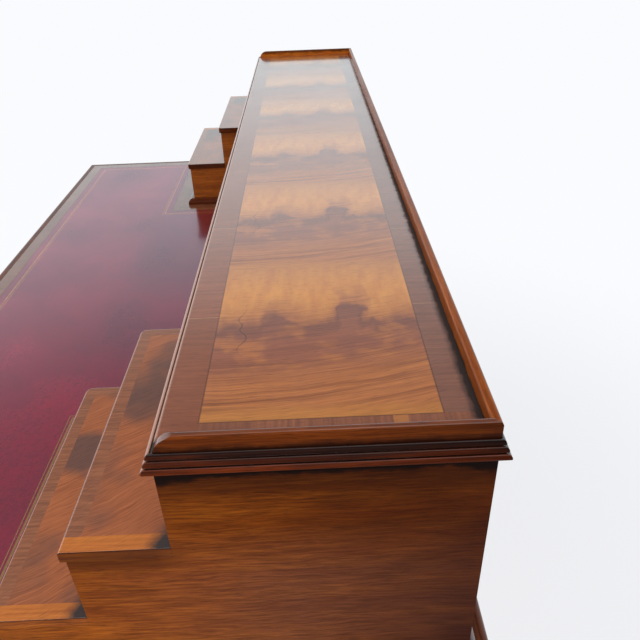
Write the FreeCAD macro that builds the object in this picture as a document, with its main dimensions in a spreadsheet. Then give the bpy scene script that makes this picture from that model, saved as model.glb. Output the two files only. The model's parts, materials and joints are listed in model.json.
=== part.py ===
"""Bonheur du jour: a lady's writing desk with a stepped superstructure of small drawers.

Millimetres, +Z up, X along the desk, the writer sits on the -Y side.
The origin is on the floor, under the middle of the desk.
"""
import FreeCAD, Part
import math
import os
import types

import Sketcher

# ---------------------------------------------------------------- driving dimensions

SIZES = {
    # table top
    "table_length": 1260,
    "table_depth": 646,
    "table_height": 750,
    "top_thickness": 18,
    "top_overhang": 16,
    "edge_moulding_width": 14,
    "edge_moulding_radius": 7,
    # leather writing panel, let into the top
    "leather_thickness": 1.2,
    "leather_border": 34,
    "leather_foot_margin": 40,
    "leather_clearance": 0.2,
    # legs
    "leg_width": 46,
    "knee_drop": 12,
    "ankle_width": 25,
    "spade_width": 36,
    "spade_height": 58,
    "spade_shoulder": 12,
    "toe_width": 25,
    # frieze
    "frieze_height": 112,
    "rail_thickness": 20,
    "rail_setback": 1.5,
    "upper_rail_height": 14,
    "lower_rail_height": 16,
    "divider_width": 18,
    "runner_width": 24,
    "guide_height": 22,
    # superstructure
    "case_end_setback": 20,
    "case_depth": 200,
    "case_setback": 23,
    "step_length": 255,
    "step_depth": 68,
    "low_tier_height": 80,
    "middle_tier_height": 68,
    "high_tier_height": 68,
    "panel_thickness": 14,
    "partition_thickness": 10,
    "back_thickness": 8,
    "floor_rise": 1,
    "step_thickness": 9,
    "step_overhang": 4,
    "step_nosing": 2,
    "step_corner_radius": 7,
    # pigeonholes
    "shelf_thickness": 7,
    "shelf_setback": 6,
    "pigeonhole_divider": 6,
    "divider_scoop": 26,
    # top of the superstructure
    "case_top_thickness": 13,
    "case_top_nosing": 2.2,
    "reed_landing": 0.3,
    "reed_step": 1.7,
    "gallery_height": 11,
    "gallery_thickness": 6,
    "gallery_rounding": 2,
    "gallery_end_run": 14,
    "gallery_rebate": 1,
    # base bead
    "bead_height": 11,
    "bead_width": 11,
    "bead_fillet": 3,
    # drawers
    "drawer_gap": 0.6,
    "drawer_back_gap": 12,
    "cockbead_width": 2.5,
    "cockbead_proud": 1,
    "small_front_thickness": 12,
    "small_side_thickness": 6,
    "small_bottom_thickness": 4,
    "large_front_thickness": 18,
    "large_side_thickness": 9,
    "large_bottom_thickness": 6,
    "drawer_lap": 3,
    "groove_depth": 2.5,
    "groove_lift": 4,
    "back_drop": 4,
    "pin_tip": 2,
    # knobs
    "small_knob_diameter": 15,
    "small_knob_length": 16,
    "large_knob_diameter": 26,
    "large_knob_length": 26,
    "large_knob_spread": 200,
}

REEDS = 3
PIGEONHOLES = 5
DOVETAIL_SLOPE = 1 / 6

# A turned knob's pattern, as shares of its radius and of its reach.
KNOB_ROSE = 0.62
KNOB_ROSE_THICKNESS = 0.12
KNOB_WAIST = 0.38
KNOB_HEAD_START = 0.55

document = FreeCAD.newDocument("WritingDesk")
sheet = document.addObject("Spreadsheet::Sheet", "Sizes")
for row, (alias, number) in enumerate(SIZES.items(), start=1):
    sheet.set(f"A{row}", alias)
    sheet.set(f"B{row}", str(number))
    sheet.setAlias(f"B{row}", alias)
document.recompute()


# ---------------------------------------------------------------- lengths as formulas

class Length:
    """A length written as a formula over the sheet's cells."""

    def __init__(self, text):
        self.text = str(text)

    def __str__(self):
        return self.text

    def __add__(self, other):
        return Length(f"({self} + {other})")

    def __radd__(self, other):
        return Length(f"({other} + {self})")

    def __sub__(self, other):
        return Length(f"({self} - {other})")

    def __rsub__(self, other):
        return Length(f"({other} - {self})")

    def __mul__(self, other):
        return Length(f"({self} * {other})")

    __rmul__ = __mul__

    def __truediv__(self, other):
        return Length(f"({self} / {other})")

    def __neg__(self):
        return Length(f"(0 - {self})")


def value(length):
    """The number that a formula gives now."""
    return float(sheet.evalExpression(str(length)))


size = types.SimpleNamespace(**{alias: Length(f"Sizes.{alias}") for alias in SIZES})


# ---------------------------------------------------------------- places in the desk

# The frieze knobs stand beyond the top's front edge, so the desk sits back by half of that.
desk_shift = (size.large_knob_length - size.top_overhang) / 2
table_front = desk_shift - size.table_depth / 2
table_back = desk_shift + size.table_depth / 2
half_table = size.table_length / 2
top_underside = size.table_height - size.top_thickness

leg_outer_x = half_table - size.top_overhang
leg_inner_x = leg_outer_x - size.leg_width
leg_front_y = table_front + size.top_overhang
leg_back_y = table_back - size.top_overhang
frieze_bottom = top_underside - size.frieze_height
drawer_level = frieze_bottom + size.lower_rail_height
back_rail_front = leg_back_y - size.rail_setback - size.rail_thickness
end_rail_inner = leg_outer_x - size.rail_setback - size.rail_thickness
rails_back_y = leg_front_y + size.leg_width
end_run = leg_back_y - size.leg_width - rails_back_y
large_opening = (leg_inner_x * 2 - size.divider_width * 2) / 3

case_length = size.table_length - 2 * size.case_end_setback
half_case = case_length / 2
case_back = table_back - size.case_setback
case_front = case_back - size.case_depth
middle_front = case_front - size.step_depth
low_front = middle_front - size.step_depth
back_inner = case_back - size.back_thickness
low_top = size.table_height + size.low_tier_height
middle_top = low_top + size.middle_tier_height
case_top_underside = middle_top + size.high_tier_height
case_top_level = case_top_underside + size.case_top_thickness

# The floor stands a little higher than the bead, so that the low drawers clear it.
floor_thickness = size.bead_height + size.floor_rise
floor_level = size.table_height + floor_thickness
step_inner_x = half_case - size.step_length
partition_outer_x = step_inner_x + size.partition_thickness
panel_inner_x = half_case - size.panel_thickness
small_opening = panel_inner_x - partition_outer_x
gallery_foot = case_top_level - size.gallery_rebate
gallery_full_height = size.gallery_rebate + size.gallery_height
gallery_front = case_front + size.case_top_nosing

reed_radius = size.case_top_thickness / REEDS / 2
cornice_overhang = size.reed_landing + size.reed_step * (REEDS - 1) + reed_radius


# ---------------------------------------------------------------- drawing helpers

def origin_plane(body, role):
    return next(plane for plane in body.Origin.OriginFeatures if plane.Role == role)


def new_body(label):
    body = document.addObject("PartDesign::Body", label)
    body.Label = label
    return body


def place(thing, x=0, y=0, z=0, turn=0):
    """Put a body where its formulas say, turned by whole degrees about +Z."""
    thing.Placement.Rotation = FreeCAD.Rotation(FreeCAD.Vector(0, 0, 1), turn)
    for axis, length in zip("xyz", (x, y, z)):
        thing.setExpression(f"Placement.Base.{axis}", str(length))
    return thing


class Arc:
    """Marks the edge that ends at a point as an arc about a centre."""

    def __init__(self, centre_u, centre_v, clockwise=False):
        self.centre = (centre_u, centre_v)
        self.clockwise = clockwise


def add_arc(sketch, start, end, arc):
    """An arc from start to end; gives which of its two ends is the start."""
    centre = FreeCAD.Vector(value(arc.centre[0]), value(arc.centre[1]), 0)
    radius = start.distanceToPoint(centre)
    first, last = (end, start) if arc.clockwise else (start, end)
    angles = [math.atan2(p.y - centre.y, p.x - centre.x) for p in (first, last)]
    circle = Part.Circle(centre, FreeCAD.Vector(0, 0, 1), radius)
    sketch.addGeometry(Part.ArcOfCircle(circle, *angles), False)
    return 2 if arc.clockwise else 1


def bind(sketch, kind, element, point, length):
    number = sketch.addConstraint(
        Sketcher.Constraint(kind, -1, 1, element, point, value(length)))
    sketch.setExpression(f"Constraints[{number}]", str(length))


def fix_arc_centre(sketch, element, start, end, arc):
    """Ends are held already, so one coordinate of the centre settles the arc."""
    if abs(end.y - start.y) > abs(end.x - start.x):
        bind(sketch, "DistanceX", element, 3, arc.centre[0])
    else:
        bind(sketch, "DistanceY", element, 3, arc.centre[1])


def add_loop(sketch, points):
    """A closed outline through points (u, v) or (u, v, Arc), every corner bound."""
    base = sketch.GeometryCount
    corners = [FreeCAD.Vector(value(p[0]), value(p[1]), 0) for p in points]
    count = len(points)
    starts = []
    for index in range(count):
        after = (index + 1) % count
        arc = points[after][2] if len(points[after]) > 2 else None
        if arc:
            starts.append(add_arc(sketch, corners[index], corners[after], arc))
        else:
            sketch.addGeometry(Part.LineSegment(corners[index], corners[after]), False)
            starts.append(1)
    for index in range(count):
        after = (index + 1) % count
        end_point = 3 - starts[index]
        sketch.addConstraint(Sketcher.Constraint(
            "Coincident", base + index, end_point, base + after, starts[after]))
    for index in range(count):
        after = (index + 1) % count
        bind(sketch, "DistanceX", base + index, starts[index], points[index][0])
        bind(sketch, "DistanceY", base + index, starts[index], points[index][1])
        if len(points[after]) > 2:
            fix_arc_centre(sketch, base + index, corners[index], corners[after],
                           points[after][2])


def new_sketch(body, role, *loops, offset=0):
    """A sketch on one of the body's own planes, lifted off it by offset."""
    sketch = body.newObject("Sketcher::SketchObject", f"{body.Name}_outline")
    sketch.AttachmentSupport = (origin_plane(body, role), "")
    sketch.MapMode = "FlatFace"
    sketch.setExpression("AttachmentOffset.Base.z", str(offset))
    for points in loops:
        add_loop(sketch, points)
    return sketch


def pad(body, sketch, length, symmetric=False, backwards=False):
    feature = body.newObject("PartDesign::Pad", f"{body.Name}_pad")
    feature.Profile = sketch
    feature.SideType = "Symmetric" if symmetric else "One side"
    feature.Reversed = backwards
    feature.setExpression("Length", str(length))
    return feature


def pocket(body, sketch, depth, symmetric=False, along_normal=False):
    feature = body.newObject("PartDesign::Pocket", f"{body.Name}_pocket")
    feature.Profile = sketch
    feature.SideType = "Symmetric" if symmetric else "One side"
    feature.Reversed = along_normal
    feature.setExpression("Length", str(depth))
    return feature


def mirror_across_x(body, *features):
    """Repeat features on the other side of the body's own middle."""
    mirror = body.newObject("PartDesign::Mirrored", f"{body.Name}_mirror")
    mirror.Originals = list(features)
    mirror.MirrorPlane = (origin_plane(body, "YZ_Plane"), [""])
    body.Tip = mirror
    return mirror


def rectangle(u0, v0, u1, v1):
    return [(u0, v0), (u1, v0), (u1, v1), (u0, v1)]


def board(label, x, y, z, length, depth, height):
    """A plain sawn board, from its lowest corner."""
    box = document.addObject("Part::Box", label)
    box.Label = label
    for name, extent in (("Length", length), ("Width", depth), ("Height", height)):
        box.setExpression(name, str(extent))
    return place(box, x, y, z)


def group(label, pieces):
    """Several separate solids under one name."""
    compound = document.addObject("Part::Compound", label)
    compound.Label = label
    compound.Links = pieces
    return compound


def round_edges(body, base, radius, wanted):
    """Fillet those edges of the base feature whose middle point is wanted."""
    document.recompute()
    names = []
    for number, edge in enumerate(base.Shape.Edges, start=1):
        middle = edge.valueAt((edge.FirstParameter + edge.LastParameter) / 2)
        if wanted(middle, edge):
            names.append(f"Edge{number}")
    fillet = body.newObject("PartDesign::Fillet", f"{body.Name}_rounding")
    fillet.Base = (base, names)
    fillet.setExpression("Radius", str(radius))
    return fillet


# ---------------------------------------------------------------- mitred mouldings

OUTSIDE, INSIDE, SQUARE = 1, -1, 0


def cut_mitre(body, half_length, width, height, corner, at_right):
    """Cut one end of a strip at 45 degrees, for an outside or an inside corner."""
    side = 1 if at_right else -1
    spare = 1
    reach = half_length + width + 2 * spare
    near = (side * (half_length - corner * spare), spare)
    far = (side * (half_length + corner * (width + spare)), -width - spare)
    waste = [near, (side * reach, spare), (side * reach, -width - spare), far]
    sketch = new_sketch(body, "XY_Plane", waste, offset=-spare)
    return pocket(body, sketch, height + 2 * spare, along_normal=True)


def moulding_strip(label, profile, length, width, height, left, right):
    """A strip along X with its back at y = 0 and its moulded face towards -Y.

    length is measured along the back, from corner to corner.
    """
    body = new_body(label)
    half_length = length / 2
    blank = length + 2 * width
    pad(body, new_sketch(body, "YZ_Plane", profile), blank, symmetric=True)
    for corner, at_right in ((left, False), (right, True)):
        cut_mitre(body, half_length, width, height, corner, at_right)
    return body


def reeded_profile():
    """Three half-round reeds, each standing a step further out than the one above."""
    points = [(Length(0), Length(0)), (Length(0), size.case_top_thickness)]
    for number in range(REEDS):
        landing = -(size.reed_landing + size.reed_step * number)
        upper = size.case_top_thickness - 2 * reed_radius * number
        points.append((landing, upper))
        points.append((landing, upper - 2 * reed_radius, Arc(landing, upper - reed_radius)))
    return points


def cornice_moulding():
    """The reeded strips planted on the four edges of the case top, mitred together."""
    runs = (
        ("front", case_length, Length(0), case_front, 0),
        ("right", size.case_depth, half_case, case_back - size.case_depth / 2, 90),
        ("back", case_length, Length(0), case_back, 180),
        ("left", size.case_depth, -half_case, case_back - size.case_depth / 2, 270),
    )
    strips = []
    for side, length, x, y, turn in runs:
        strip = moulding_strip(f"cornice_{side}", reeded_profile(), length,
                               cornice_overhang, size.case_top_thickness,
                               OUTSIDE, OUTSIDE)
        strips.append(place(strip, x, y, case_top_underside, turn))
    return group("cornice_moulding", strips)


def bead_profile():
    """A low base bead: an upright foot under a quarter round."""
    shoulder = size.bead_height - size.bead_width + size.bead_fillet
    run = size.bead_width - size.bead_fillet
    return [
        (Length(0), Length(0)),
        (Length(0), size.bead_height),
        (-size.bead_fillet, size.bead_height),
        (-size.bead_width, shoulder, Arc(-size.bead_fillet, size.bead_height - run)),
        (-size.bead_width, Length(0)),
    ]


def base_bead():
    """The bead round the foot of the superstructure, in and out of the steps."""
    low_depth = case_back - low_front
    recess = case_front - low_front
    step_middle_x = half_case - size.step_length / 2
    low_middle_y = case_back - low_depth / 2
    recess_middle_y = low_front + recess / 2
    runs = (
        ("back", case_length, Length(0), case_back, 180, OUTSIDE, OUTSIDE),
        ("right_end", low_depth, half_case, low_middle_y, 90, OUTSIDE, OUTSIDE),
        ("left_end", low_depth, -half_case, low_middle_y, 270, OUTSIDE, OUTSIDE),
        ("right_step", size.step_length, step_middle_x, low_front, 0, OUTSIDE, OUTSIDE),
        ("left_step", size.step_length, -step_middle_x, low_front, 0, OUTSIDE, OUTSIDE),
        ("right_recess", recess, step_inner_x, recess_middle_y, 270, INSIDE, OUTSIDE),
        ("left_recess", recess, -step_inner_x, recess_middle_y, 90, OUTSIDE, INSIDE),
        ("middle", 2 * step_inner_x, Length(0), case_front, 0, INSIDE, INSIDE),
    )
    strips = []
    for side, length, x, y, turn, left, right in runs:
        strip = moulding_strip(f"base_bead_{side}", bead_profile(), length,
                               size.bead_width, size.bead_height, left, right)
        strips.append(place(strip, x, y, size.table_height, turn))
    return group("base_bead", strips)


def thumb_profile():
    """The table's edge: a flat top, a full thumb moulding and a small quirk under it."""
    out = size.edge_moulding_width
    radius = size.edge_moulding_radius
    quirk = size.top_thickness - 2 * radius
    return [
        (Length(0), Length(0)),
        (Length(0), size.top_thickness),
        (radius - out, size.top_thickness),
        (radius - out, quirk, Arc(radius - out, size.top_thickness - radius)),
        (radius - out, Length(0)),
    ]


def top_edge_moulding():
    """Mitred strips that frame the table top."""
    width = size.edge_moulding_width
    middle_y = (table_front + table_back) / 2
    runs = (
        ("front", size.table_length - 2 * width, Length(0), table_front + width, 0),
        ("right", size.table_depth - 2 * width, half_table - width, middle_y, 90),
        ("back", size.table_length - 2 * width, Length(0), table_back - width, 180),
        ("left", size.table_depth - 2 * width, width - half_table, middle_y, 270),
    )
    strips = []
    for side, length, x, y, turn in runs:
        strip = moulding_strip(f"top_edge_{side}", thumb_profile(), length,
                               width, size.top_thickness, OUTSIDE, OUTSIDE)
        strips.append(place(strip, x, y, top_underside, turn))
    return group("top_edge_moulding", strips)


def gallery_profile():
    """A thin upright rail, its inner face at y = 0, with a rounded top."""
    out = size.gallery_thickness
    up = gallery_full_height
    soft = size.gallery_rounding
    return [
        (Length(0), Length(0)),
        (Length(0), up - soft),
        (-soft, up, Arc(-soft, up - soft, clockwise=False)),
        (soft - out, up),
        (-out, up - soft, Arc(soft - out, up - soft, clockwise=False)),
        (-out, Length(0)),
    ]


def gallery_back():
    inner_length = case_length - 2 * size.gallery_thickness
    rail = moulding_strip("gallery_back", gallery_profile(), inner_length,
                          size.gallery_thickness, gallery_full_height, OUTSIDE, OUTSIDE)
    return place(rail, 0, case_back - size.gallery_thickness, gallery_foot, 180)


def gallery_end(side):
    """An end rail: mitred at the back corner, swept down in a curve at the front."""
    at_right = side == "right"
    body = new_body(f"gallery_{side}")
    thickness = size.gallery_thickness
    length = case_back - thickness - gallery_front
    half_length = length / 2
    blank = length + 2 * thickness
    pad(body, new_sketch(body, "YZ_Plane", gallery_profile()), blank, symmetric=True)
    cut_mitre(body, half_length, thickness, gallery_full_height, OUTSIDE, at_right)

    # The swept front: tangent to the rail's top and falling to the board.
    front = -1 if at_right else 1
    up = gallery_full_height
    fall = size.gallery_height
    run = size.gallery_end_run
    radius = (run * run + fall * fall) / (2 * fall)
    foot = front * half_length
    crest = front * (half_length - run)
    beyond = front * (half_length + 2 * thickness)
    spare = 1
    waste = [
        (foot, size.gallery_rebate),
        (crest, up, Arc(crest, up - radius, clockwise=at_right)),
        (crest, up + spare),
        (beyond, up + spare),
        (beyond, Length(-spare)),
        (foot, Length(-spare)),
    ]
    swept = new_sketch(body, "XZ_Plane", waste)
    pocket(body, swept, 4 * thickness, symmetric=True)
    x = (half_case - thickness) if at_right else (thickness - half_case)
    turn = 90 if at_right else 270
    return place(body, x, gallery_front + half_length, gallery_foot, turn)


# ---------------------------------------------------------------- table

def top_board():
    """The top inside its edge moulding, with the recess for the leather."""
    body = new_body("top_board")
    width = size.edge_moulding_width
    x1 = half_table - width
    outline = rectangle(-x1, table_front + width, x1, table_back - width)
    pad(body, new_sketch(body, "XY_Plane", outline), size.top_thickness)
    recess = new_sketch(body, "XY_Plane", leather_outline(Length(0)),
                        offset=size.top_thickness - size.leather_thickness)
    pocket(body, recess, size.leather_thickness + 1, along_normal=True)
    return place(body, 0, 0, top_underside)


def leather_outline(clearance):
    """A wide panel in front of the steps and a narrower one between them."""
    wide_x = half_table - size.leather_border - clearance
    narrow_x = step_inner_x - size.leather_foot_margin - clearance
    front = table_front + size.leather_border + clearance
    shoulder = low_front - size.leather_foot_margin - clearance
    back = case_front - size.leather_foot_margin - clearance
    return [
        (-wide_x, front), (wide_x, front), (wide_x, shoulder), (narrow_x, shoulder),
        (narrow_x, back), (-narrow_x, back), (-narrow_x, shoulder), (-wide_x, shoulder),
    ]


def leather_panel():
    body = new_body("leather_panel")
    skin = new_sketch(body, "XY_Plane", leather_outline(size.leather_clearance))
    pad(body, skin, size.leather_thickness)
    return place(body, 0, 0, size.table_height - size.leather_thickness)


def centred_square(width):
    half = width / 2
    return rectangle(-half, -half, half, half)


def tapered_length(body, low, low_width, high, high_width):
    """A stretch of a square leg whose width changes evenly from low to high."""
    wedge = body.newObject("PartDesign::AdditiveWedge", f"{body.Name}_taper")
    # A wedge tapers along its own Y, so it is stood on end.
    wedge.Placement.Rotation = FreeCAD.Rotation(FreeCAD.Vector(1, 0, 0), 90)
    limits = {
        "Ymin": low, "Ymax": high,
        "Xmin": -low_width / 2, "Xmax": low_width / 2,
        "Zmin": -low_width / 2, "Zmax": low_width / 2,
        "X2min": -high_width / 2, "X2max": high_width / 2,
        "Z2min": -high_width / 2, "Z2max": high_width / 2,
    }
    for limit, length in limits.items():
        wedge.setExpression(limit, str(length))


def leg(label, x_side, y_side):
    """A square leg: straight through the frieze, tapered below, on a spade foot."""
    body = new_body(label)
    knee = frieze_bottom - size.knee_drop
    shoulder = size.spade_height - size.spade_shoulder
    tapered_length(body, Length(0), size.toe_width, shoulder, size.spade_width)
    tapered_length(body, shoulder, size.spade_width, size.spade_height, size.ankle_width)
    tapered_length(body, size.spade_height, size.ankle_width, knee, size.leg_width)
    stile = new_sketch(body, "XY_Plane", centred_square(size.leg_width), offset=knee)
    pad(body, stile, top_underside - knee)
    half = size.leg_width / 2
    x = x_side * (leg_outer_x - half)
    y = leg_front_y + half if y_side < 0 else leg_back_y - half
    return place(body, x, y, 0)


def back_rail():
    return board("back_rail", -leg_inner_x, back_rail_front, frieze_bottom,
                 2 * leg_inner_x, size.rail_thickness, size.frieze_height)


def end_rail(side, sign):
    x = end_rail_inner if sign > 0 else -(end_rail_inner + size.rail_thickness)
    return board(f"end_rail_{side}", x, rails_back_y, frieze_bottom, size.rail_thickness,
                 end_run, size.frieze_height)


def drawer_rail(label, z, height):
    return board(label, -leg_inner_x, leg_front_y, z, 2 * leg_inner_x, size.leg_width,
                 height)


def divider_places():
    """Middle lines of the two uprights between the three frieze drawers."""
    offset = (large_opening + size.divider_width) / 2
    return (("left", -offset), ("right", offset))


def rail_dividers():
    height = top_underside - size.upper_rail_height - drawer_level
    uprights = [board(f"rail_divider_{side}", x - size.divider_width / 2, leg_front_y,
                      drawer_level, size.divider_width, size.leg_width, height)
                for side, x in divider_places()]
    return group("rail_dividers", uprights)


def running_bars(label, z, height):
    """Two bars along the end rails, from leg to leg, and two from the front rail to the
    back rail behind the dividers, each wide enough for the two drawers beside it."""
    end_width = end_rail_inner - leg_inner_x + size.runner_width
    bars = [
        board(f"{label}_end_right", end_rail_inner - end_width, rails_back_y, z, end_width,
              end_run, height),
        board(f"{label}_end_left", -end_rail_inner, rails_back_y, z, end_width, end_run,
              height),
    ]
    middle_width = size.divider_width + 2 * size.runner_width
    for side, x in divider_places():
        bars.append(board(f"{label}_{side}", x - middle_width / 2, rails_back_y, z,
                          middle_width, back_rail_front - rails_back_y, height))
    return bars


def drawer_guides():
    """Bars on top of the runners that keep the frieze drawers straight."""
    end_width = end_rail_inner - leg_inner_x
    guides = [
        board("guide_end_right", leg_inner_x, rails_back_y, drawer_level, end_width,
              end_run, size.guide_height),
        board("guide_end_left", -end_rail_inner, rails_back_y, drawer_level, end_width,
              end_run, size.guide_height),
    ]
    for side, x in divider_places():
        guides.append(board(f"guide_{side}", x - size.divider_width / 2, rails_back_y,
                            drawer_level, size.divider_width,
                            back_rail_front - rails_back_y, size.guide_height))
    return guides


def drawer_runners():
    bars = running_bars("runner", frieze_bottom, size.lower_rail_height)
    return group("drawer_runners", bars + drawer_guides())


def drawer_kickers():
    """Bars above the frieze drawers that stop them tipping when they are out."""
    level = top_underside - size.upper_rail_height
    return group("drawer_kickers", running_bars("kicker", level, size.upper_rail_height))


# ---------------------------------------------------------------- superstructure

def stepped_side(label, x, thickness):
    """An upright with two steps down to the front, standing on the table top."""
    body = new_body(label)
    deck = size.step_thickness
    high_z = case_top_underside - size.table_height
    outline = [
        (low_front, Length(0)),
        (case_back, Length(0)),
        (case_back, high_z),
        (case_front, high_z),
        (case_front, middle_top - size.table_height - deck),
        (middle_front, middle_top - size.table_height - deck),
        (middle_front, low_top - size.table_height - deck),
        (low_front, low_top - size.table_height - deck),
    ]
    pad(body, new_sketch(body, "YZ_Plane", outline), thickness)
    return place(body, x, 0, size.table_height)


def partition(side, sign):
    x = step_inner_x if sign > 0 else -partition_outer_x
    body = stepped_side(f"partition_{side}", x, size.partition_thickness)
    # The back panel passes behind the partition.
    notch = rectangle(back_inner, Length(-1), case_back + 1,
                      case_top_underside - size.table_height + 1)
    pocket(body, new_sketch(body, "YZ_Plane", notch), size.partition_thickness,
           along_normal=True)
    return body


def end_panel(side, sign):
    x = panel_inner_x if sign > 0 else -half_case
    return stepped_side(f"end_panel_{side}", x, size.panel_thickness)


def case_back_panel():
    return board("case_back", -panel_inner_x, back_inner, size.table_height,
                 2 * panel_inner_x, size.back_thickness,
                 case_top_underside - size.table_height)


def case_floor():
    """Floor boards of the three bays, between the uprights."""
    z = size.table_height
    thick = floor_thickness
    side_depth = back_inner - low_front
    return group("case_floor", [
        board("floor_middle", -step_inner_x, case_front, z, 2 * step_inner_x,
              back_inner - case_front, thick),
        board("floor_right", partition_outer_x, low_front, z, small_opening, side_depth,
              thick),
        board("floor_left", -panel_inner_x, low_front, z, small_opening, side_depth, thick),
    ])


def step_board(label, sign, front, riser, top_level):
    """The top of one step, which runs back between the uprights as a dust board.

    It covers the end panel and the partition as far as the next riser, and overhangs
    the drawer front and the partition's plain face.
    """
    body = new_body(label)
    corner = size.step_corner_radius
    front = front - size.step_overhang
    outer = sign * half_case
    inner = sign * (step_inner_x - size.step_overhang)
    narrow_outer = sign * panel_inner_x
    narrow_inner = sign * partition_outer_x
    outline = [
        (outer, front),
        (outer, riser),
        (narrow_outer, riser),
        (narrow_outer, back_inner),
        (narrow_inner, back_inner),
        (narrow_inner, riser),
        (inner, riser),
        (inner, front + corner),
        (inner + sign * corner, front,
         Arc(inner + sign * corner, front + corner, clockwise=sign < 0)),
    ]
    slab = pad(body, new_sketch(body, "XY_Plane", outline), size.step_thickness)
    top = value(size.step_thickness)
    outer_x = value(outer)
    riser_y = value(riser)

    def is_nosing(middle, edge):
        on_top = abs(middle.z - top) < 0.01
        in_front = middle.y < riser_y - 0.01
        return on_top and in_front and abs(middle.x - outer_x) > 0.01

    round_edges(body, slab, size.step_nosing, is_nosing)
    return place(body, 0, 0, top_level - size.step_thickness)


def case_top():
    """The long board of the top: its front edge rounded over, and a shallow rebate round
    the other three for the gallery."""
    body = new_body("case_top")
    soft = size.case_top_nosing
    up = size.case_top_thickness
    profile = [
        (case_front, Length(0)),
        (case_back, Length(0)),
        (case_back, up),
        (case_front + soft, up),
        (case_front, up - soft, Arc(case_front + soft, up - soft)),
    ]
    pad(body, new_sketch(body, "YZ_Plane", profile), case_length, symmetric=True)

    spare = 1
    inner_x = half_case - size.gallery_thickness
    outer_x = half_case + spare
    rebate = [
        (-outer_x, gallery_front),
        (-inner_x, gallery_front),
        (-inner_x, case_back - size.gallery_thickness),
        (inner_x, case_back - size.gallery_thickness),
        (inner_x, gallery_front),
        (outer_x, gallery_front),
        (outer_x, case_back + spare),
        (-outer_x, case_back + spare),
    ]
    pocket(body, new_sketch(body, "XY_Plane", rebate, offset=up), size.gallery_rebate)
    return place(body, 0, 0, case_top_underside)


def letter_shelf():
    """The shelf over the pigeonholes, level with the high steps."""
    front = case_front + size.shelf_setback
    return board("letter_shelf", -step_inner_x, front, middle_top - size.shelf_thickness,
                 2 * step_inner_x, back_inner - front, size.shelf_thickness)


def pigeonhole_centres():
    """Middle lines of the thin uprights between the pigeonholes."""
    pitch = (2 * step_inner_x + size.pigeonhole_divider) / PIGEONHOLES
    return [pitch * (number + 1) - step_inner_x - size.pigeonhole_divider / 2
            for number in range(PIGEONHOLES - 1)]


def pigeonhole_divider(number, x):
    """A thin upright whose front edge is scooped back in a hollow curve."""
    body = new_body(f"pigeonhole_divider_{number}")
    thick = size.pigeonhole_divider
    up = middle_top - size.shelf_thickness - floor_level
    front = case_front + size.shelf_setback
    scoop = size.divider_scoop
    lip = (up - 2 * scoop) / 2
    outline = [
        (front, Length(0)),
        (back_inner, Length(0)),
        (back_inner, up),
        (front, up),
        (front, up - lip),
        (front + scoop, up - lip - scoop, Arc(front, up - lip - scoop, clockwise=True)),
        (front, lip, Arc(front, lip + scoop, clockwise=True)),
    ]
    pad(body, new_sketch(body, "YZ_Plane", outline), thick)
    return place(body, x - thick / 2, 0, floor_level)


def pigeonhole_dividers():
    uprights = [pigeonhole_divider(number, x)
                for number, x in enumerate(pigeonhole_centres(), start=1)]
    return group("pigeonhole_dividers", uprights)


# ---------------------------------------------------------------- drawers

class Drawer:
    """One drawer's opening in the carcass, and how stoutly the drawer is made.

    x is the opening's middle, front its face, level its floor and back what is behind it.
    """

    def __init__(self, name, x, front, level, width, height, back, large=False):
        self.name = name
        self.x = x
        self.front = front
        self.level = level
        self.width = width - 2 * size.drawer_gap
        self.height = height - size.drawer_gap
        self.length = back - size.drawer_back_gap - front
        grade = "large" if large else "small"
        self.front_thickness = getattr(size, f"{grade}_front_thickness")
        self.side_thickness = getattr(size, f"{grade}_side_thickness")
        self.bottom_thickness = getattr(size, f"{grade}_bottom_thickness")
        self.knob_diameter = getattr(size, f"{grade}_knob_diameter")
        self.knob_length = getattr(size, f"{grade}_knob_length")
        self.tails = 3 if large else 2
        self.large = large

    @property
    def tail_length(self):
        return self.front_thickness - size.drawer_lap

    @property
    def floor_height(self):
        """Top of the drawer's own bottom board, above the drawer's underside."""
        return size.groove_lift + self.bottom_thickness


def tail_edges(drawer):
    """Each dovetail's outline, from low to high: four corners (y, z)."""
    start = drawer.front_thickness - drawer.tail_length
    pitch = drawer.height / drawer.tails
    wide = (pitch - size.pin_tip) / 2
    narrow = wide - drawer.tail_length * DOVETAIL_SLOPE
    for number in range(drawer.tails):
        middle = pitch * (number + 0.5)
        yield [
            (drawer.front_thickness, middle - narrow),
            (start, middle - wide),
            (start, middle + wide),
            (drawer.front_thickness, middle + narrow),
        ]


def drawer_front(drawer):
    """The front board: a cockbead round its edge, a groove for the bottom and a lapped
    dovetail socket for each tail of the two sides."""
    body = new_body(f"{drawer.name}_front")
    thick = drawer.front_thickness
    groove = size.groove_depth
    section = [
        (-size.cockbead_proud, Length(0)),
        (thick, Length(0)),
        (thick, size.groove_lift),
        (thick - groove, size.groove_lift),
        (thick - groove, drawer.floor_height),
        (thick, drawer.floor_height),
        (thick, drawer.height),
        (-size.cockbead_proud, drawer.height),
    ]
    pad(body, new_sketch(body, "YZ_Plane", section), drawer.width, symmetric=True)

    rim = size.cockbead_width
    half = drawer.width / 2
    field = new_sketch(body, "XZ_Plane",
                       rectangle(rim - half, rim, half - rim, drawer.height - rim))
    pocket(body, field, size.cockbead_proud + 1, along_normal=True)

    sockets = new_sketch(body, "YZ_Plane", *tail_edges(drawer), offset=half)
    cut = pocket(body, sockets, drawer.side_thickness)
    mirror_across_x(body, cut)
    return place(body, drawer.x, drawer.front, drawer.level)


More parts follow.
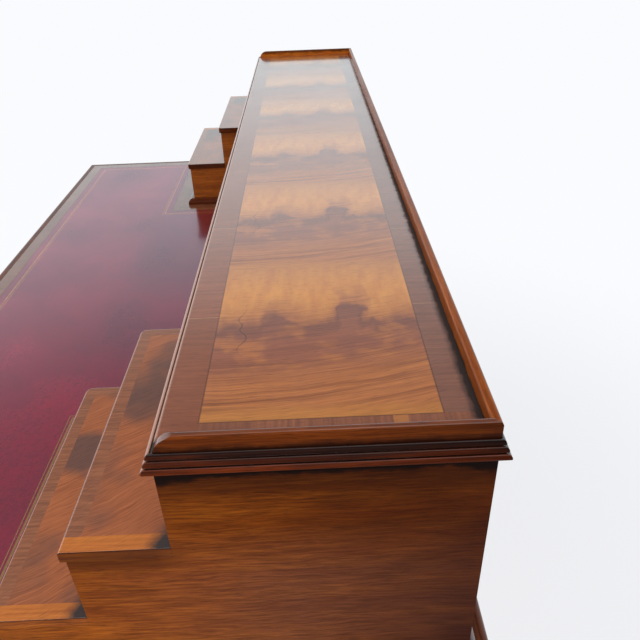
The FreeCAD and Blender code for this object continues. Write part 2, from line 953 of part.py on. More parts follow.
def drawer_side(drawer, sign):
    """A side board with its tails at the front and a groove inside for the bottom."""
    hand = "right" if sign > 0 else "left"
    body = new_body(f"{drawer.name}_side_{hand}")
    thick = drawer.side_thickness
    outline = [(drawer.length, Length(0)), (drawer.length, drawer.height)]
    outline.append((drawer.front_thickness, drawer.height))
    for tail in reversed(list(tail_edges(drawer))):
        outline.extend(reversed(tail))
    outline.append((drawer.front_thickness, Length(0)))
    pad(body, new_sketch(body, "YZ_Plane", outline), thick, backwards=sign < 0)
    groove = rectangle(drawer.front_thickness - size.groove_depth, size.groove_lift,
                       drawer.length + 1, drawer.floor_height)
    pocket(body, new_sketch(body, "YZ_Plane", groove), size.groove_depth,
           along_normal=sign > 0)
    x = drawer.x + sign * (drawer.width / 2 - thick)
    return place(body, x, drawer.front, drawer.level)


def drawer_box(drawer):
    """Sides, back and bottom; the bottom slides into the grooves under the back."""
    inner = drawer.width - 2 * drawer.side_thickness
    left = drawer.x - inner / 2
    back_height = drawer.height - drawer.floor_height - size.back_drop
    back = board(f"{drawer.name}_back", left,
                 drawer.front + drawer.length - drawer.side_thickness,
                 drawer.level + drawer.floor_height, inner, drawer.side_thickness,
                 back_height)
    slot = size.groove_depth
    bottom_front = drawer.front_thickness - slot
    bottom = board(f"{drawer.name}_bottom", left - slot, drawer.front + bottom_front,
                   drawer.level + size.groove_lift, inner + 2 * slot,
                   drawer.length - bottom_front, drawer.bottom_thickness)
    sides = [drawer_side(drawer, 1), drawer_side(drawer, -1)]
    return group(f"{drawer.name}_box", sides + [back, bottom])


def turned_knob(label, drawer, x):
    """A turned knob: a waist and a flat head, and on a large drawer a rose behind them."""
    body = new_body(label)
    radius = drawer.knob_diameter / 2
    reach = drawer.knob_length
    waist = radius * KNOB_WAIST
    profile = [(Length(0), Length(0))]
    if drawer.large:
        rose = radius * KNOB_ROSE
        rose_face = -reach * KNOB_ROSE_THICKNESS
        profile += [(Length(0), rose), (rose_face, rose), (rose_face, waist)]
    else:
        profile.append((Length(0), waist))
    profile += [
        (-reach * KNOB_HEAD_START, waist),
        (-reach * KNOB_HEAD_START, radius),
        (-reach, radius),
        (-reach, Length(0)),
    ]
    sketch = new_sketch(body, "YZ_Plane", profile)
    turning = body.newObject("PartDesign::Revolution", f"{label}_turning")
    turning.Profile = sketch
    turning.ReferenceAxis = (sketch, ["H_Axis"])
    turning.Angle = 360
    return place(body, x, drawer.front, drawer.level + drawer.height / 2)


def drawer_knob(drawer):
    """One knob in the middle of a small front, a pair on a large one."""
    if not drawer.large:
        return turned_knob(f"{drawer.name}_knob", drawer, drawer.x)
    spread = size.large_knob_spread / 2
    pair = [turned_knob(f"{drawer.name}_knob_{hand}", drawer, drawer.x + sign * spread)
            for hand, sign in (("right", 1), ("left", -1))]
    return group(f"{drawer.name}_knobs", pair)


def small_drawers():
    """Three drawers one above the other at each end of the superstructure."""
    tiers = (
        ("low", low_front, floor_level, low_top - size.step_thickness),
        ("middle", middle_front, low_top, middle_top - size.step_thickness),
        ("high", case_front, middle_top, case_top_underside),
    )
    for side, sign in (("left", -1), ("right", 1)):
        x = sign * (panel_inner_x + partition_outer_x) / 2
        for tier, front, level, ceiling in tiers:
            yield Drawer(f"{tier}_drawer_{side}", x, front, level, small_opening,
                         ceiling - level, back_inner)


def frieze_drawers():
    height = top_underside - size.upper_rail_height - drawer_level
    pitch = large_opening + size.divider_width
    for side, sign in (("left", -1), ("centre", 0), ("right", 1)):
        yield Drawer(f"frieze_drawer_{side}", sign * pitch, leg_front_y, drawer_level,
                     large_opening, height, back_rail_front, large=True)


# ---------------------------------------------------------------- the whole desk

def build_desk():
    nodes = [top_board(), top_edge_moulding(), leather_panel()]
    nodes += [back_rail(), end_rail("left", -1), end_rail("right", 1)]
    nodes.append(drawer_rail("upper_drawer_rail", top_underside - size.upper_rail_height,
                             size.upper_rail_height))
    nodes.append(drawer_rail("lower_drawer_rail", frieze_bottom, size.lower_rail_height))
    nodes += [rail_dividers(), drawer_runners(), drawer_kickers()]
    for depth_name, y_side in (("front", -1), ("back", 1)):
        for side, x_side in (("left", -1), ("right", 1)):
            nodes.append(leg(f"leg_{depth_name}_{side}", x_side, y_side))
    nodes += [case_back_panel(), case_floor(), case_top(), cornice_moulding()]
    nodes += [gallery_end("left"), gallery_end("right"), gallery_back(), base_bead()]
    nodes += [letter_shelf(), pigeonhole_dividers()]
    for side, sign in (("left", -1), ("right", 1)):
        nodes += [end_panel(side, sign), partition(side, sign)]
        nodes.append(step_board(f"low_step_{side}", sign, low_front, middle_front, low_top))
        nodes.append(step_board(f"high_step_{side}", sign, middle_front, case_front,
                                middle_top))
    for drawer in [*small_drawers(), *frieze_drawers()]:
        nodes += [drawer_front(drawer), drawer_box(drawer), drawer_knob(drawer)]
    return nodes


def check(nodes):
    """Stop if any object failed to rebuild or any sub-part isn't a sound solid."""
    for thing in document.Objects:
        if "Invalid" in thing.State or "Error" in thing.State:
            raise RuntimeError(f"{thing.Label} failed: {thing.State}")
    for node in nodes:
        if node.Shape.isNull() or not node.Shape.isValid() or not node.Shape.Solids:
            raise RuntimeError(f"{node.Label} has no sound solid")


def write(nodes):
    os.makedirs("parts", exist_ok=True)
    for node in nodes:
        node.Shape.exportStep(f"parts/{node.Label}.step")


desk = build_desk()
document.recompute()
check(desk)
write(desk)
print(f"{len(desk)} sub-parts written")
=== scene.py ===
"""A bonheur du jour in French-polished walnut: its finishes, its knobs, the camera and the
light. Lengths are in millimetres unless a comment says metres."""
import json
import math

import bmesh
import bpy
from mathutils import Matrix, Vector

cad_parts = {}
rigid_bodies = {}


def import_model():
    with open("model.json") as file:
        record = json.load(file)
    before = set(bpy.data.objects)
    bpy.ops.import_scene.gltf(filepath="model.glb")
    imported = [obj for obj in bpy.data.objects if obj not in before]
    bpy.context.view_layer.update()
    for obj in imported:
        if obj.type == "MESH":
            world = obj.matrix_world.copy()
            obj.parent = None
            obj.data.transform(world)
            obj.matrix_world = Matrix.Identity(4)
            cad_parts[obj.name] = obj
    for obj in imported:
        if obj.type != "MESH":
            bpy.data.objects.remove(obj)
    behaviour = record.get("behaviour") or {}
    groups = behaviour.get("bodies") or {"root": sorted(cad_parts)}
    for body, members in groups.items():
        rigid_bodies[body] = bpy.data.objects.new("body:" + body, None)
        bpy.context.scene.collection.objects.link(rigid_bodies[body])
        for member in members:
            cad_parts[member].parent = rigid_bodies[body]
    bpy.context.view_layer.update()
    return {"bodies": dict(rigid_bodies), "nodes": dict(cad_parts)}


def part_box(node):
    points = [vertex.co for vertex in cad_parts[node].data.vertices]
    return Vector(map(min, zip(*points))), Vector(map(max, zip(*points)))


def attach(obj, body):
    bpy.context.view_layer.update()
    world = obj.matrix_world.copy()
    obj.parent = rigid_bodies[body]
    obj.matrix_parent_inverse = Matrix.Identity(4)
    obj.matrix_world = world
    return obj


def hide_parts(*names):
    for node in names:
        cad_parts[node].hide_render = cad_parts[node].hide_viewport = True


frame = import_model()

MM = 0.001


def box_mm(node):
    """A node's lowest and highest corners, in millimetres."""
    low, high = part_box(node)
    return low / MM, high / MM


case_low, case_high = box_mm("case_top")


# ---------------------------------------------------------------- making materials

def linear(code):
    """An sRGB hex colour as the linear colour that a shader takes."""
    channels = [int(code[at:at + 2], 16) / 255 for at in (0, 2, 4)]
    return [c / 12.92 if c <= 0.04045 else ((c + 0.055) / 1.055) ** 2.4 for c in channels] + [1]


class Finish:
    """A material, or the room's light, while it is put together."""

    def __init__(self, name, kind="materials"):
        self.material = getattr(bpy.data, kind).new(name)
        self.material.use_nodes = True
        self.tree = self.material.node_tree
        self.tree.nodes.clear()

    def add(self, kind, *inputs, named=(), curve=(), **settings):
        """Adds a node. Its inputs, in order or by name, are numbers, hex colours, nodes or
        outputs; None leaves one as it is. A curve is a list of points from 0 to 1."""
        node = self.tree.nodes.new(f"ShaderNode{kind}")
        for name, choice in settings.items():
            setattr(node, name, choice)
        for number, point in enumerate(curve):
            points = node.mapping.curves[0].points
            if number in (0, len(curve) - 1):
                points[min(number, 1) * (len(points) - 1)].location = point
            else:
                points.new(*point)
        for place, source in [*enumerate(inputs), *dict(named).items()]:
            if isinstance(source, bpy.types.Node):
                source = source.outputs[0]
            if isinstance(source, bpy.types.NodeSocket):
                self.tree.links.new(source, node.inputs[place])
            elif isinstance(source, str):
                node.inputs[place].default_value = linear(source)
            elif source is not None:
                node.inputs[place].default_value = source
        return node


def place_mm(m):
    """Where a point is on the desk, in millimetres."""
    coordinates = m.add("TexCoord").outputs["Object"]
    return m.add("VectorMath", coordinates, (1 / MM,) * 3, operation="MULTIPLY")


def along_grain(m, place, grain, seed=0.0):
    """The place as (along the grain, across it, into the board), moved on by seed so that
    no two boards are alike."""
    axes = m.add("SeparateXYZ", place).outputs
    order = {"x": (0, 1, 2), "y": (1, 0, 2), "z": (2, 0, 1)}[grain]
    turned = m.add("CombineXYZ", *[axes[axis] for axis in order])
    return m.add("VectorMath", turned, (seed * 811, seed * 97, seed * 53), operation="ADD")


def stretched(m, place, *lengths):
    """The place in units of the given lengths in millimetres, one for each axis."""
    return m.add("VectorMath", place, [1 / length for length in lengths], operation="MULTIPLY")


def wandering(m, place, spacing, reach):
    """The place pushed sideways by soft noise, as grain wanders round old knots."""
    noise = m.add("TexNoise", stretched(m, place, *spacing), None, 1.0, 2.0, 0.5)
    centred = m.add("VectorMath", noise.outputs["Color"], (0.5,) * 3, operation="SUBTRACT")
    push = m.add("VectorMath", centred, [2 * length for length in reach], operation="MULTIPLY")
    return m.add("VectorMath", place, push, operation="ADD")


def apart(m, one, other):
    """How far two numbers are from each other."""
    return m.add("Math", m.add("Math", one, other, operation="SUBTRACT"), operation="ABSOLUTE")


def beyond(m, across, middle, half):
    """How far a point lies outside a strip with the given middle and half width. It is less
    than nothing inside the strip."""
    return m.add("Math", apart(m, across, middle), half, operation="SUBTRACT")


def with_pores(m, place, colour, lines, strength=0.45, dark="34190e"):
    """The colour with walnut's open pores in it, dark flecks 5 to 12 mm long, and the relief
    of the pores and the grain's lines. Real pores are 0.2 mm wide, and these are drawn at
    0.5 mm so that they show."""
    noise = m.add("TexNoise", stretched(m, place, 11, 0.5, 0.5), None, 1.0, 1.0, 0.5)
    flecks = m.add("MapRange", noise, 0.56, 0.72, 0.0, 1.0)
    colour = m.add("MixRGB", m.add("Math", flecks, strength, operation="MULTIPLY"), colour, dark)
    return colour, m.add("Math", lines, flecks, operation="SUBTRACT")


def facing_end(m, *ends):
    """How far a face looks along the desk: the two values that are given are what it
    comes to on other faces and on those that face an end."""
    across = m.add("SeparateXYZ", m.add("NewGeometry").outputs["Normal"]).outputs[0]
    sideways = m.add("Math", across, operation="ABSOLUTE")
    return m.add("MapRange", sideways, 0.25, 0.6, *ends)


def polished(m, colour, relief, dull=0.30, shine=0.16, coat=1.0, end_coat=0.03, specular=0.5,
             depth=0.06, coat_ior=1.6, dirt=None):
    """Shellac over the wood: smeared by wiping, worn thin on the ends of the desk, matt
    under dirt. The relief is what the polish has sunk into, and depth is how deep it goes.
    Roughness runs from shine to dull along the smears. Coat and end_coat are how much of
    the film is left on most faces and on those that look along the desk."""
    place = place_mm(m)
    film = facing_end(m, coat, end_coat)
    smears = m.add("TexNoise", stretched(m, place, 70, 70, 70), None, 1.0, 4.0, 0.6)
    roughness = m.add("MapRange", smears, 0.3, 0.7, shine, dull)
    if dirt:
        film = m.add("Math", film, m.add("MapRange", dirt, 0.3, 0.9, 1.0, 0.05),
                     operation="MULTIPLY")
        roughness = m.add("Math", roughness, m.add("MapRange", dirt, 0.3, 0.9, 0.0, 0.8),
                          operation="MAXIMUM")
    soft_edge = m.add("Bevel", 0.7 * MM, samples=4)
    bump = m.add("Bump", 0.5, depth * MM, named={"Height": relief, "Normal": soft_edge})
    shader = m.add("BsdfPrincipled", colour, 0.0, roughness, named={
        "Normal": bump, "IOR": 1.5, "Specular IOR Level": specular, "Coat Weight": film,
        "Coat Roughness": 0.11, "Coat IOR": coat_ior, "Coat Normal": soft_edge})
    m.add("OutputMaterial", shader)
    return m.material


# ---------------------------------------------------------------- walnut

def plain_grain(m, place, light, dark, figure=13.0):
    """Plain-sawn walnut: wavy growth lines, short fine streaks between them and open
    pores. Gives its colour and its relief."""
    waved = wandering(m, place, (130, 45, 45), (0, 4, 4))
    growth = m.add("TexNoise", stretched(m, waved, 300, figure, figure), None, 1.0, 4.0, 0.6)
    threads = m.add("TexNoise", stretched(m, waved, 110, 3.6, 3.6), None, 1.0, 2.0, 0.6)
    streaks = m.add("TexNoise", stretched(m, waved, 34, 1.1, 1.1), None, 1.0, 2.0, 0.6)
    base = m.add("MixRGB", m.add("MapRange", growth, 0.3, 0.72), light, dark)
    threaded = m.add("MixRGB", m.add("MapRange", threads, 0.42, 0.7, 0.0, 0.5), base, dark)
    lined = m.add("MixRGB", m.add("MapRange", streaks, 0.42, 0.64, 0.0, 0.75), threaded, dark)
    return with_pores(m, waved, lined, streaks, 0.5, "1d0a03")


def straight_walnut(name, grain, light, dark, seed=0.0, figure=13.0, **polish):
    """Plain walnut rails, legs and linings under a warm polish."""
    m = Finish(name)
    colour, relief = plain_grain(m, along_grain(m, place_mm(m), grain, seed), light, dark, figure)
    return polished(m, colour, relief, **polish)


def painted_shade_behind(m, place):
    """How much painted shade darkens the superstructure's ends towards the back, on the faces
    that look along the desk."""
    backwards = m.add("MapRange", m.add("SeparateXYZ", place).outputs[1], case_low.y + 25,
                      case_high.y, 0.0, 0.65)
    return m.add("Math", backwards, facing_end(m, 0.0, 1.0), operation="MULTIPLY")


def gallery_walnut(name, grain, light, dark, seed, waxed, **polish):
    """A gallery rail with old wax and painted shade on it, the right-hand one also darkened by
    painted shade towards the back. Waxed is two heights over the rail's foot and how dark the wax
    and painted shade are at each."""
    m = Finish(name)
    place = place_mm(m)
    colour, relief = plain_grain(m, along_grain(m, place, grain, seed), light, dark)
    foot = box_mm("gallery_right")[0].z
    ragged = m.add("TexNoise", stretched(m, place, 14, 14, 14), None, 1.0, 3.0, 0.6)
    height = m.add("Math", m.add("SeparateXYZ", place).outputs[2],
                   m.add("MapRange", ragged, 0.3, 0.7, -1.2, 1.2), operation="ADD")
    # A band darkened near the foot or the top: old wax on the right-hand rail's foot, old wax
    # with painted shade on the back rail's foot, painted shade on the left rail's top.
    start, end, *thickness = waxed
    wax = m.add("MapRange", height, foot + start, foot + end, *thickness)
    colour = m.add("MixRGB", wax, colour, "160804")
    # Painted shade darkens the right-hand rail's end face towards the back.
    on_right = m.add("Math", m.add("SeparateXYZ", place).outputs[0], 0.0,
                     operation="GREATER_THAN")
    painted_shade = m.add("Math", painted_shade_behind(m, place), on_right, operation="MULTIPLY")
    colour = m.add("MixRGB", painted_shade, colour, "2a0c02")
    return polished(m, colour, relief, **polish)


def end_veneer(m, place, seed):
    """The veneer on the case's ends, which runs on over the ends of the step boards: orange-brown
    and streaky in front and low down, darkened by painted shade towards the back and the top and
    under the high step, with a painted pale reflection haze low down halfway along. Gives its
    colour and its relief."""
    colour, relief = plain_grain(m, along_grain(m, place, "y", seed), "c86e18", "8a400c", 12.0)
    axes = m.add("SeparateXYZ", place).outputs
    high = box_mm("end_panel_right")[1]
    shade_foot = high.z - 95
    # Painted shade: darker towards the top, under the cornice, and towards the back.
    to_top = m.add("MapRange", axes[2], shade_foot, high.z - 12, 0.12, 0.64)
    to_back = m.add("Math", m.add("MapRange", axes[1], case_low.y + 20, high.y - 8),
                    m.add("MapRange", axes[2], shade_foot, high.z, 0.84, 0.12),
                    operation="MULTIPLY")
    cloudy = m.add("TexNoise", stretched(m, place, 60, 90, 30), None, 1.0, 2.0, 0.5)
    depth = m.add("Math", m.add("Math", to_back, to_top, operation="ADD"),
                  m.add("MapRange", cloudy, 0.3, 0.7, -0.1, 0.1), operation="ADD")
    colour = m.add("MixRGB", depth, colour, "351104")
    # A painted pale reflection haze, low down and halfway along the end.
    halfway = m.add("Math", m.add("MapRange", axes[1], case_low.y - 70, case_low.y + 50,
                                  0.1, 1.0),
                    m.add("MapRange", axes[1], case_low.y + 80, high.y, 1.0, 0.3),
                    operation="MULTIPLY")
    pale_reflection = m.add("Math", m.add("MapRange", axes[2], high.z - 50, high.z - 100, 0.0, 0.45),
                    halfway, operation="MULTIPLY")
    colour = m.add("MixRGB", pale_reflection, colour, "6e4638")
    # Painted shade under the high step's overhang, laid in the same dark as the streaks.
    step_underside = box_mm("high_step_right")[0].z
    from_step = apart(m, axes[2], step_underside)
    step_shade = m.add("Math", m.add("MapRange", from_step, 4, 22, 0.6, 0.0),
                       m.add("MapRange", axes[1], case_low.y - 10, case_low.y + 16, 1.0, 0.0),
                       operation="MULTIPLY")
    waved = wandering(m, place, (60, 60, 40), (0, 0, 6))
    streaky = m.add("TexNoise", stretched(m, waved, 50, 28, 1.5), None, 1.0, 4.0, 0.7)
    streaks_and_step_shade = m.add("Math", m.add("MapRange", streaky, 0.4, 0.62, 0.0, 0.46), step_shade,
                     operation="MAXIMUM")
    return m.add("MixRGB", streaks_and_step_shade, colour, "2c0d03"), relief


def end_panel_walnut(name, seed, **polish):
    """The case's end, with a black painted shadow under the cornice."""
    m = Finish(name)
    place = place_mm(m)
    axes = m.add("SeparateXYZ", place).outputs
    high = box_mm("end_panel_right")[1]
    colour, relief = end_veneer(m, place, seed)
    ragged = m.add("TexNoise", stretched(m, place, 20, 20, 8), None, 1.0, 3.0, 0.6)
    # Painted shadow under the cornice: a black line that reaches lower at the front and back
    # corners, over a softer haze.
    under = m.add("Math", high.z, axes[2], operation="SUBTRACT")
    under = m.add("Math", under, m.add("MapRange", ragged, 0.3, 0.7, -2.0, 2.0), operation="ADD")
    from_middle = apart(m, axes[1], (case_low.y + high.y) / 2)
    half = (high.y - case_low.y) / 2
    corner = m.add("MapRange", from_middle, half - 28, half - 4, 0.0, 4.0)
    line = m.add("MapRange", m.add("Math", under, corner, operation="SUBTRACT"), 5.5, 12.0,
                 0.95, 0.0, interpolation_type="SMOOTHSTEP")
    haze = m.add("MapRange", under, 7.0, 28.0, 0.5, 0.0)
    colour = m.add("MixRGB", m.add("Math", line, haze, operation="MAXIMUM"), colour, "0a0605")
    return polished(m, colour, relief, **polish)


def strip_grain(m, half_x, middle_y, half_y, seed=0.0):
    """Places on four mitred strips round a rectangle, so that the grain follows each. The
    rectangle is given as half its length, its middle and half its depth."""
    place = place_mm(m)
    axes = m.add("SeparateXYZ", place).outputs
    on_end = m.add("Math", beyond(m, axes[0], 0.0, half_x), beyond(m, axes[1], middle_y, half_y),
                   operation="GREATER_THAN")
    return m.add("MixRGB", on_end, along_grain(m, place, "x", seed),
                 along_grain(m, place, "y", seed + 1))


def in_corners(m, reach, strength=1.0):
    """Old wax and dust: how deep a point lies in a corner or a quirk, within a reach."""
    shade = m.add("AmbientOcclusion", None, reach * MM, samples=6)
    return m.add("MapRange", shade.outputs["AO"], 0.75, 0.25, 0.0, strength)


def moulding_walnut(name, frame_of, light, dark, reach, seed=0.0, dust_and_shade=None, wear_and_highlight=None,
                    **polish):
    """Stained walnut moulding: darkened wax in the quirks except along the front, which is wiped
    most and may carry a painted pale highlight. Dust_and_shade is the height where the wax
    thickens on the ends, and the height where it is thickest; it also brings painted shade on the
    ends towards the back."""
    m = Finish(name)
    place = strip_grain(m, *frame_of, seed=seed)
    streaks = m.add("TexNoise", stretched(m, place, 60, 1.6, 1.6), None, 1.0, 3.0, 0.6)
    cloudy = m.add("TexNoise", stretched(m, place, 60, 12, 12), None, 1.0, 2.0, 0.5)
    wood = m.add("MixRGB", m.add("MapRange", streaks, 0.35, 0.65), light, dark)
    worn = m.add("MixRGB", m.add("MapRange", cloudy, 0.35, 0.7, 0.0, 0.5), wood, dark)
    colour, relief = with_pores(m, place, worn, streaks, 0.5, "1c0c06")
    axes = m.add("SeparateXYZ", place_mm(m)).outputs
    half_x, middle_y, half_y = frame_of
    past_end = beyond(m, axes[0], 0.0, half_x)
    past_front = m.add("Math", middle_y - half_y, axes[1], operation="SUBTRACT")
    away_from_front = m.add("MapRange", m.add("Math", past_front, past_end, operation="SUBTRACT"),
                    -1.0, 1.0, 1.0, 0.0)
    # A painted pale highlight on the front strip, where the reeds catch the light.
    colour = m.add("MixRGB", away_from_front, wear_and_highlight or colour, colour)
    grime_and_shade = in_corners(m, reach)
    # Painted shade on the ends towards the back, and wax thickening up the ends.
    if dust_and_shade:
        colour = m.add("MixRGB", painted_shade_behind(m, place_mm(m)), colour, "1e0802")
        patchy = m.add("MapRange", cloudy, 0.3, 0.7, -1.5, 1.5)
        level = m.add("Math", axes[2], patchy, operation="ADD")
        grime_and_shade = m.add("Math", grime_and_shade, m.add("MapRange", level, *dust_and_shade, 0.0, 0.85),
                      operation="MAXIMUM")
    grime_and_shade = m.add("Math", grime_and_shade, away_from_front, operation="MULTIPLY")
    colour = m.add("MixRGB", grime_and_shade, colour, "0e0807")
    return polished(m, colour, relief, **polish)


# ---------------------------------------------------------------- case top veneer

GALLERY = 6.0         # how thick the gallery's rails are
# How wide the crossbanding is at the ends, in front and at the back.
END_BAND, FRONT_BAND, BACK_BAND = 24.0, 25.0, 28.3
LEAVES = 6
# A short new piece in each end's crossbanding: its middle and half its length.
PATCH, PATCH_HALF = 250.5, 4.5
# How far the cloud's flames reach, from the field's front edge to its back.
FLAMES = [(0.0, 0.10), (0.10, 0.22), (0.20, 0.30), (0.30, 0.62), (0.40, 0.40), (0.50, 0.20),
          (0.60, 0.55), (0.67, 1.0), (0.75, 0.50), (0.82, 0.18), (0.92, 0.35), (1.0, 0.15)]


def leaf_place(m, axes, field_end, leaf):
    """(from the leaf's own right edge, back from the front, a little for each leaf), so
    that leaves cut one after another from a flitch differ slightly."""
    run = m.add("Math", field_end, axes[0], operation="SUBTRACT")
    number = m.add("Math", m.add("Math", run, leaf, operation="DIVIDE"), operation="FLOOR")
    within = m.add("Math", run, leaf, operation="FLOORED_MODULO")
    return within, m.add("CombineXYZ", within, axes[1],
                         m.add("Math", number, 4.0, operation="MULTIPLY"))


def crossband(m, axes, light, dark, joint, pitch, seed):
    """Lengths of walnut, a pitch long, laid from a joint with the grain across the band, each
    a tone of its own, and a pale line of filler in every other joint."""
    run = m.add("Math", m.add("Math", joint, axes[0], operation="SUBTRACT"), pitch,
                operation="DIVIDE")
    number = m.add("Math", run, operation="FLOOR")
    tone = m.add("TexWhiteNoise", None, m.add("Math", number, seed, operation="ADD"),
                 noise_dimensions="1D")
    place = m.add("CombineXYZ", *axes)
    lines = m.add("TexNoise", stretched(m, place, 2.2, 60, 60), None, 1.0, 3.0, 0.65)
    cloudy = m.add("TexNoise", stretched(m, place, 45, 30, 30), None, 1.0, 2.0, 0.5)
    plain = m.add("MixRGB", m.add("MapRange", lines, 0.3, 0.7), light, dark)
    toned = m.add("MixRGB", m.add("Math", tone, 0.35, operation="MULTIPLY"), plain, dark)
    band = m.add("MixRGB", m.add("MapRange", cloudy, 0.4, 0.7, 0.0, 0.4), toned, dark)
    past_joint = m.add("Math", m.add("Math", run, number, operation="SUBTRACT"), pitch,
                       operation="MULTIPLY")
    filled = m.add("Math", m.add("Math", number, 2.0, operation="FLOORED_MODULO"),
                   m.add("MapRange", past_joint, 0.3, 1.0, 0.6, 0.0), operation="MULTIPLY")
    return m.add("MixRGB", filled, band, "c39468")


def case_top_veneer():
    """Slip-matched crotch walnut: each leaf runs from lined orange wood through a smoky cloud
    with flame-like spikes to mottled gold, framed by crossbanding, under old polish that has gone
    dark along the gallery's foot, with painted shade there and a painted pale highlight along the
    front edge."""
    m = Finish("crotch_walnut_leaves_french_polished")
    low, high = box_mm("case_top")
    field_end = high.x - END_BAND
    leaf = 2 * field_end / LEAVES
    axes = m.add("SeparateXYZ", place_mm(m)).outputs
    within, spot = leaf_place(m, axes, field_end, leaf)
    warped = wandering(m, spot, (30, 34, 30), (5, 4, 0))
    moved = m.add("SeparateXYZ", warped).outputs

    # Growth lines lie along the board's depth and bend away towards the back.
    back = m.add("Math", axes[1], low.y + FRONT_BAND, operation="SUBTRACT")
    bend = m.add("Math", m.add("Math", back, back, operation="MULTIPLY"), 0.001,
                 operation="MULTIPLY")
    steady = m.add("Math", m.add("Math", moved[0], 0.4, operation="MULTIPLY"),
                   m.add("Math", within, 0.6, operation="MULTIPLY"), operation="ADD")
    bent = m.add("Math", steady, bend, operation="SUBTRACT")
    on_lines = m.add("CombineXYZ", bent, axes[1], spot)
    fine = m.add("TexNoise", stretched(m, on_lines, 1.3, 90, 60), None, 1.0, 3.0, 0.65)
    bold = m.add("TexNoise", stretched(m, on_lines, 5.0, 220, 60), None, 1.0, 2.0, 0.55)

    # The cloud fades in 26 to 66 mm into the leaf, and breaks into flames on its far side,
    # at 101 to 134 mm.
    share = m.add("Math", m.add("MapRange", axes[1], low.y + FRONT_BAND, high.y - BACK_BAND),
                  m.add("MapRange", m.add("TexNoise", stretched(m, spot, 30, 18, 50), None,
                                          1.0, 2.0, 0.5), 0.3, 0.7, -0.06, 0.06), operation="ADD")
    lobes = m.add("FloatCurve", 1.0, share, curve=FLAMES)
    flame_place = m.add("CombineXYZ", m.add("Math", within, 0.35, operation="MULTIPLY"),
                        axes[1], spot)
    flames = m.add("TexNoise", stretched(m, flame_place, 9, 15, 60), None, 1.0, 4.0, 0.55)
    limit = m.add("Math", m.add("MapRange", lobes, 0.0, 1.0, 101.0, 134.0),
                  m.add("MapRange", flames, 0.25, 0.75, -6.0, 6.0), operation="ADD")
    past = m.add("Math", moved[0], limit, operation="SUBTRACT")
    starts = m.add("MapRange", bent, 26.0, 66.0, 0.0, 1.0, interpolation_type="SMOOTHSTEP")
    ends = m.add("MapRange", past, -8.0, 9.0, 1.0, 0.0, interpolation_type="SMOOTHSTEP")
    islands = m.add("TexNoise", stretched(m, warped, 24, 34, 40), None, 1.0, 3.0, 0.55)
    kept = m.add("MapRange", islands, 0.50, 0.66, 1.0, 0.2, interpolation_type="SMOOTHSTEP")
    cloud = m.add("Math", m.add("Math", starts, ends, operation="MULTIPLY"), kept,
                  operation="MULTIPLY")
    rim = m.add("MapRange", past, -26.0, -4.0, 0.0, 1.0, interpolation_type="SMOOTHSTEP")
    gold_side = m.add("MapRange", past, -6.0, 40.0, 0.0, 1.0, interpolation_type="SMOOTHSTEP")

    lined = m.add("MixRGB", m.add("MapRange", fine, 0.40, 0.70), "bd733e", "8f5230")
    lined = m.add("MixRGB", m.add("MapRange", bold, 0.54, 0.74, 0.0, 0.6), lined, "743c20")
    lined = m.add("MixRGB", m.add("MapRange", moved[0], 4.0, 16.0, 0.55, 0.0), lined, "c8843a")
    mottle = m.add("TexNoise", stretched(m, warped, 34, 9, 30), None, 1.0, 4.0, 0.6)
    gold = m.add("MixRGB", m.add("MapRange", mottle, 0.35, 0.68), "dc9340", "c87c38")
    tired = m.add("MapRange", within, leaf - 38.0, leaf, 0.0, 0.5)
    gold = m.add("MixRGB", tired, gold, "a9683a")
    field = m.add("MixRGB", gold_side, lined, gold)
    smoke = m.add("MixRGB", m.add("MapRange", fine, 0.35, 0.7), "9b5a40", "7c4735")
    smoke = m.add("MixRGB", m.add("Math", rim, 0.45, operation="MULTIPLY"), smoke, "64392e")
    field = m.add("MixRGB", cloud, field, smoke)

    # One wandering crack crosses the cloud.
    wave = m.add("TexNoise", stretched(m, spot, 26, 400, 50), None, 1.0, 2.0, 0.4)
    crack_y = m.add("MapRange", wave, 0.3, 0.7, 142.0, 156.0)
    crack = m.add("MapRange", apart(m, axes[1], crack_y), 0.1, 0.8, 0.6, 0.0)
    in_cloud = m.add("Math", m.add("MapRange", within, 68.0, 82.0),
                     m.add("MapRange", within, 116.0, 132.0, 1.0, 0.0), operation="MULTIPLY")
    field = m.add("MixRGB", m.add("Math", crack, in_cloud, operation="MULTIPLY"), field, "3d231d")

    front = crossband(m, axes, "a15c3c", "7e4730", joint=549.0, pitch=82.0, seed=3.0)
    rear = crossband(m, axes, "98614c", "764c3c", joint=529.0, pitch=70.0, seed=7.0)
    turned = m.add("SeparateXYZ", along_grain(m, m.add("CombineXYZ", *axes), "y")).outputs
    end = crossband(m, turned, "a06040", "7c4832", joint=345.0, pitch=90.0, seed=11.0)
    patch = m.add("Math", apart(m, axes[1], PATCH), PATCH_HALF, operation="LESS_THAN")
    end = m.add("MixRGB", patch, end, "b4703a")
    off_end = beyond(m, axes[0], 0.0, field_end)
    off_front = m.add("Math", low.y + FRONT_BAND, axes[1], operation="SUBTRACT")
    off_back = m.add("Math", axes[1], high.y - BACK_BAND, operation="SUBTRACT")
    colour = m.add("MixRGB", m.add("Math", off_back, 0.0, operation="GREATER_THAN"), field, rear)
    colour = m.add("MixRGB", m.add("Math", off_end, 0.0, operation="GREATER_THAN"), colour, end)
    colour = m.add("MixRGB", m.add("Math", off_front, 0.0, operation="GREATER_THAN"), colour,
                   front)

    # A painted pale highlight along the rounded front edge.
    nosing_highlight = m.add("MapRange", axes[1], low.y + 1.4, low.y + 2.8, 0.8, 0.0)
    colour = m.add("MixRGB", nosing_highlight, colour, "b88e7c")

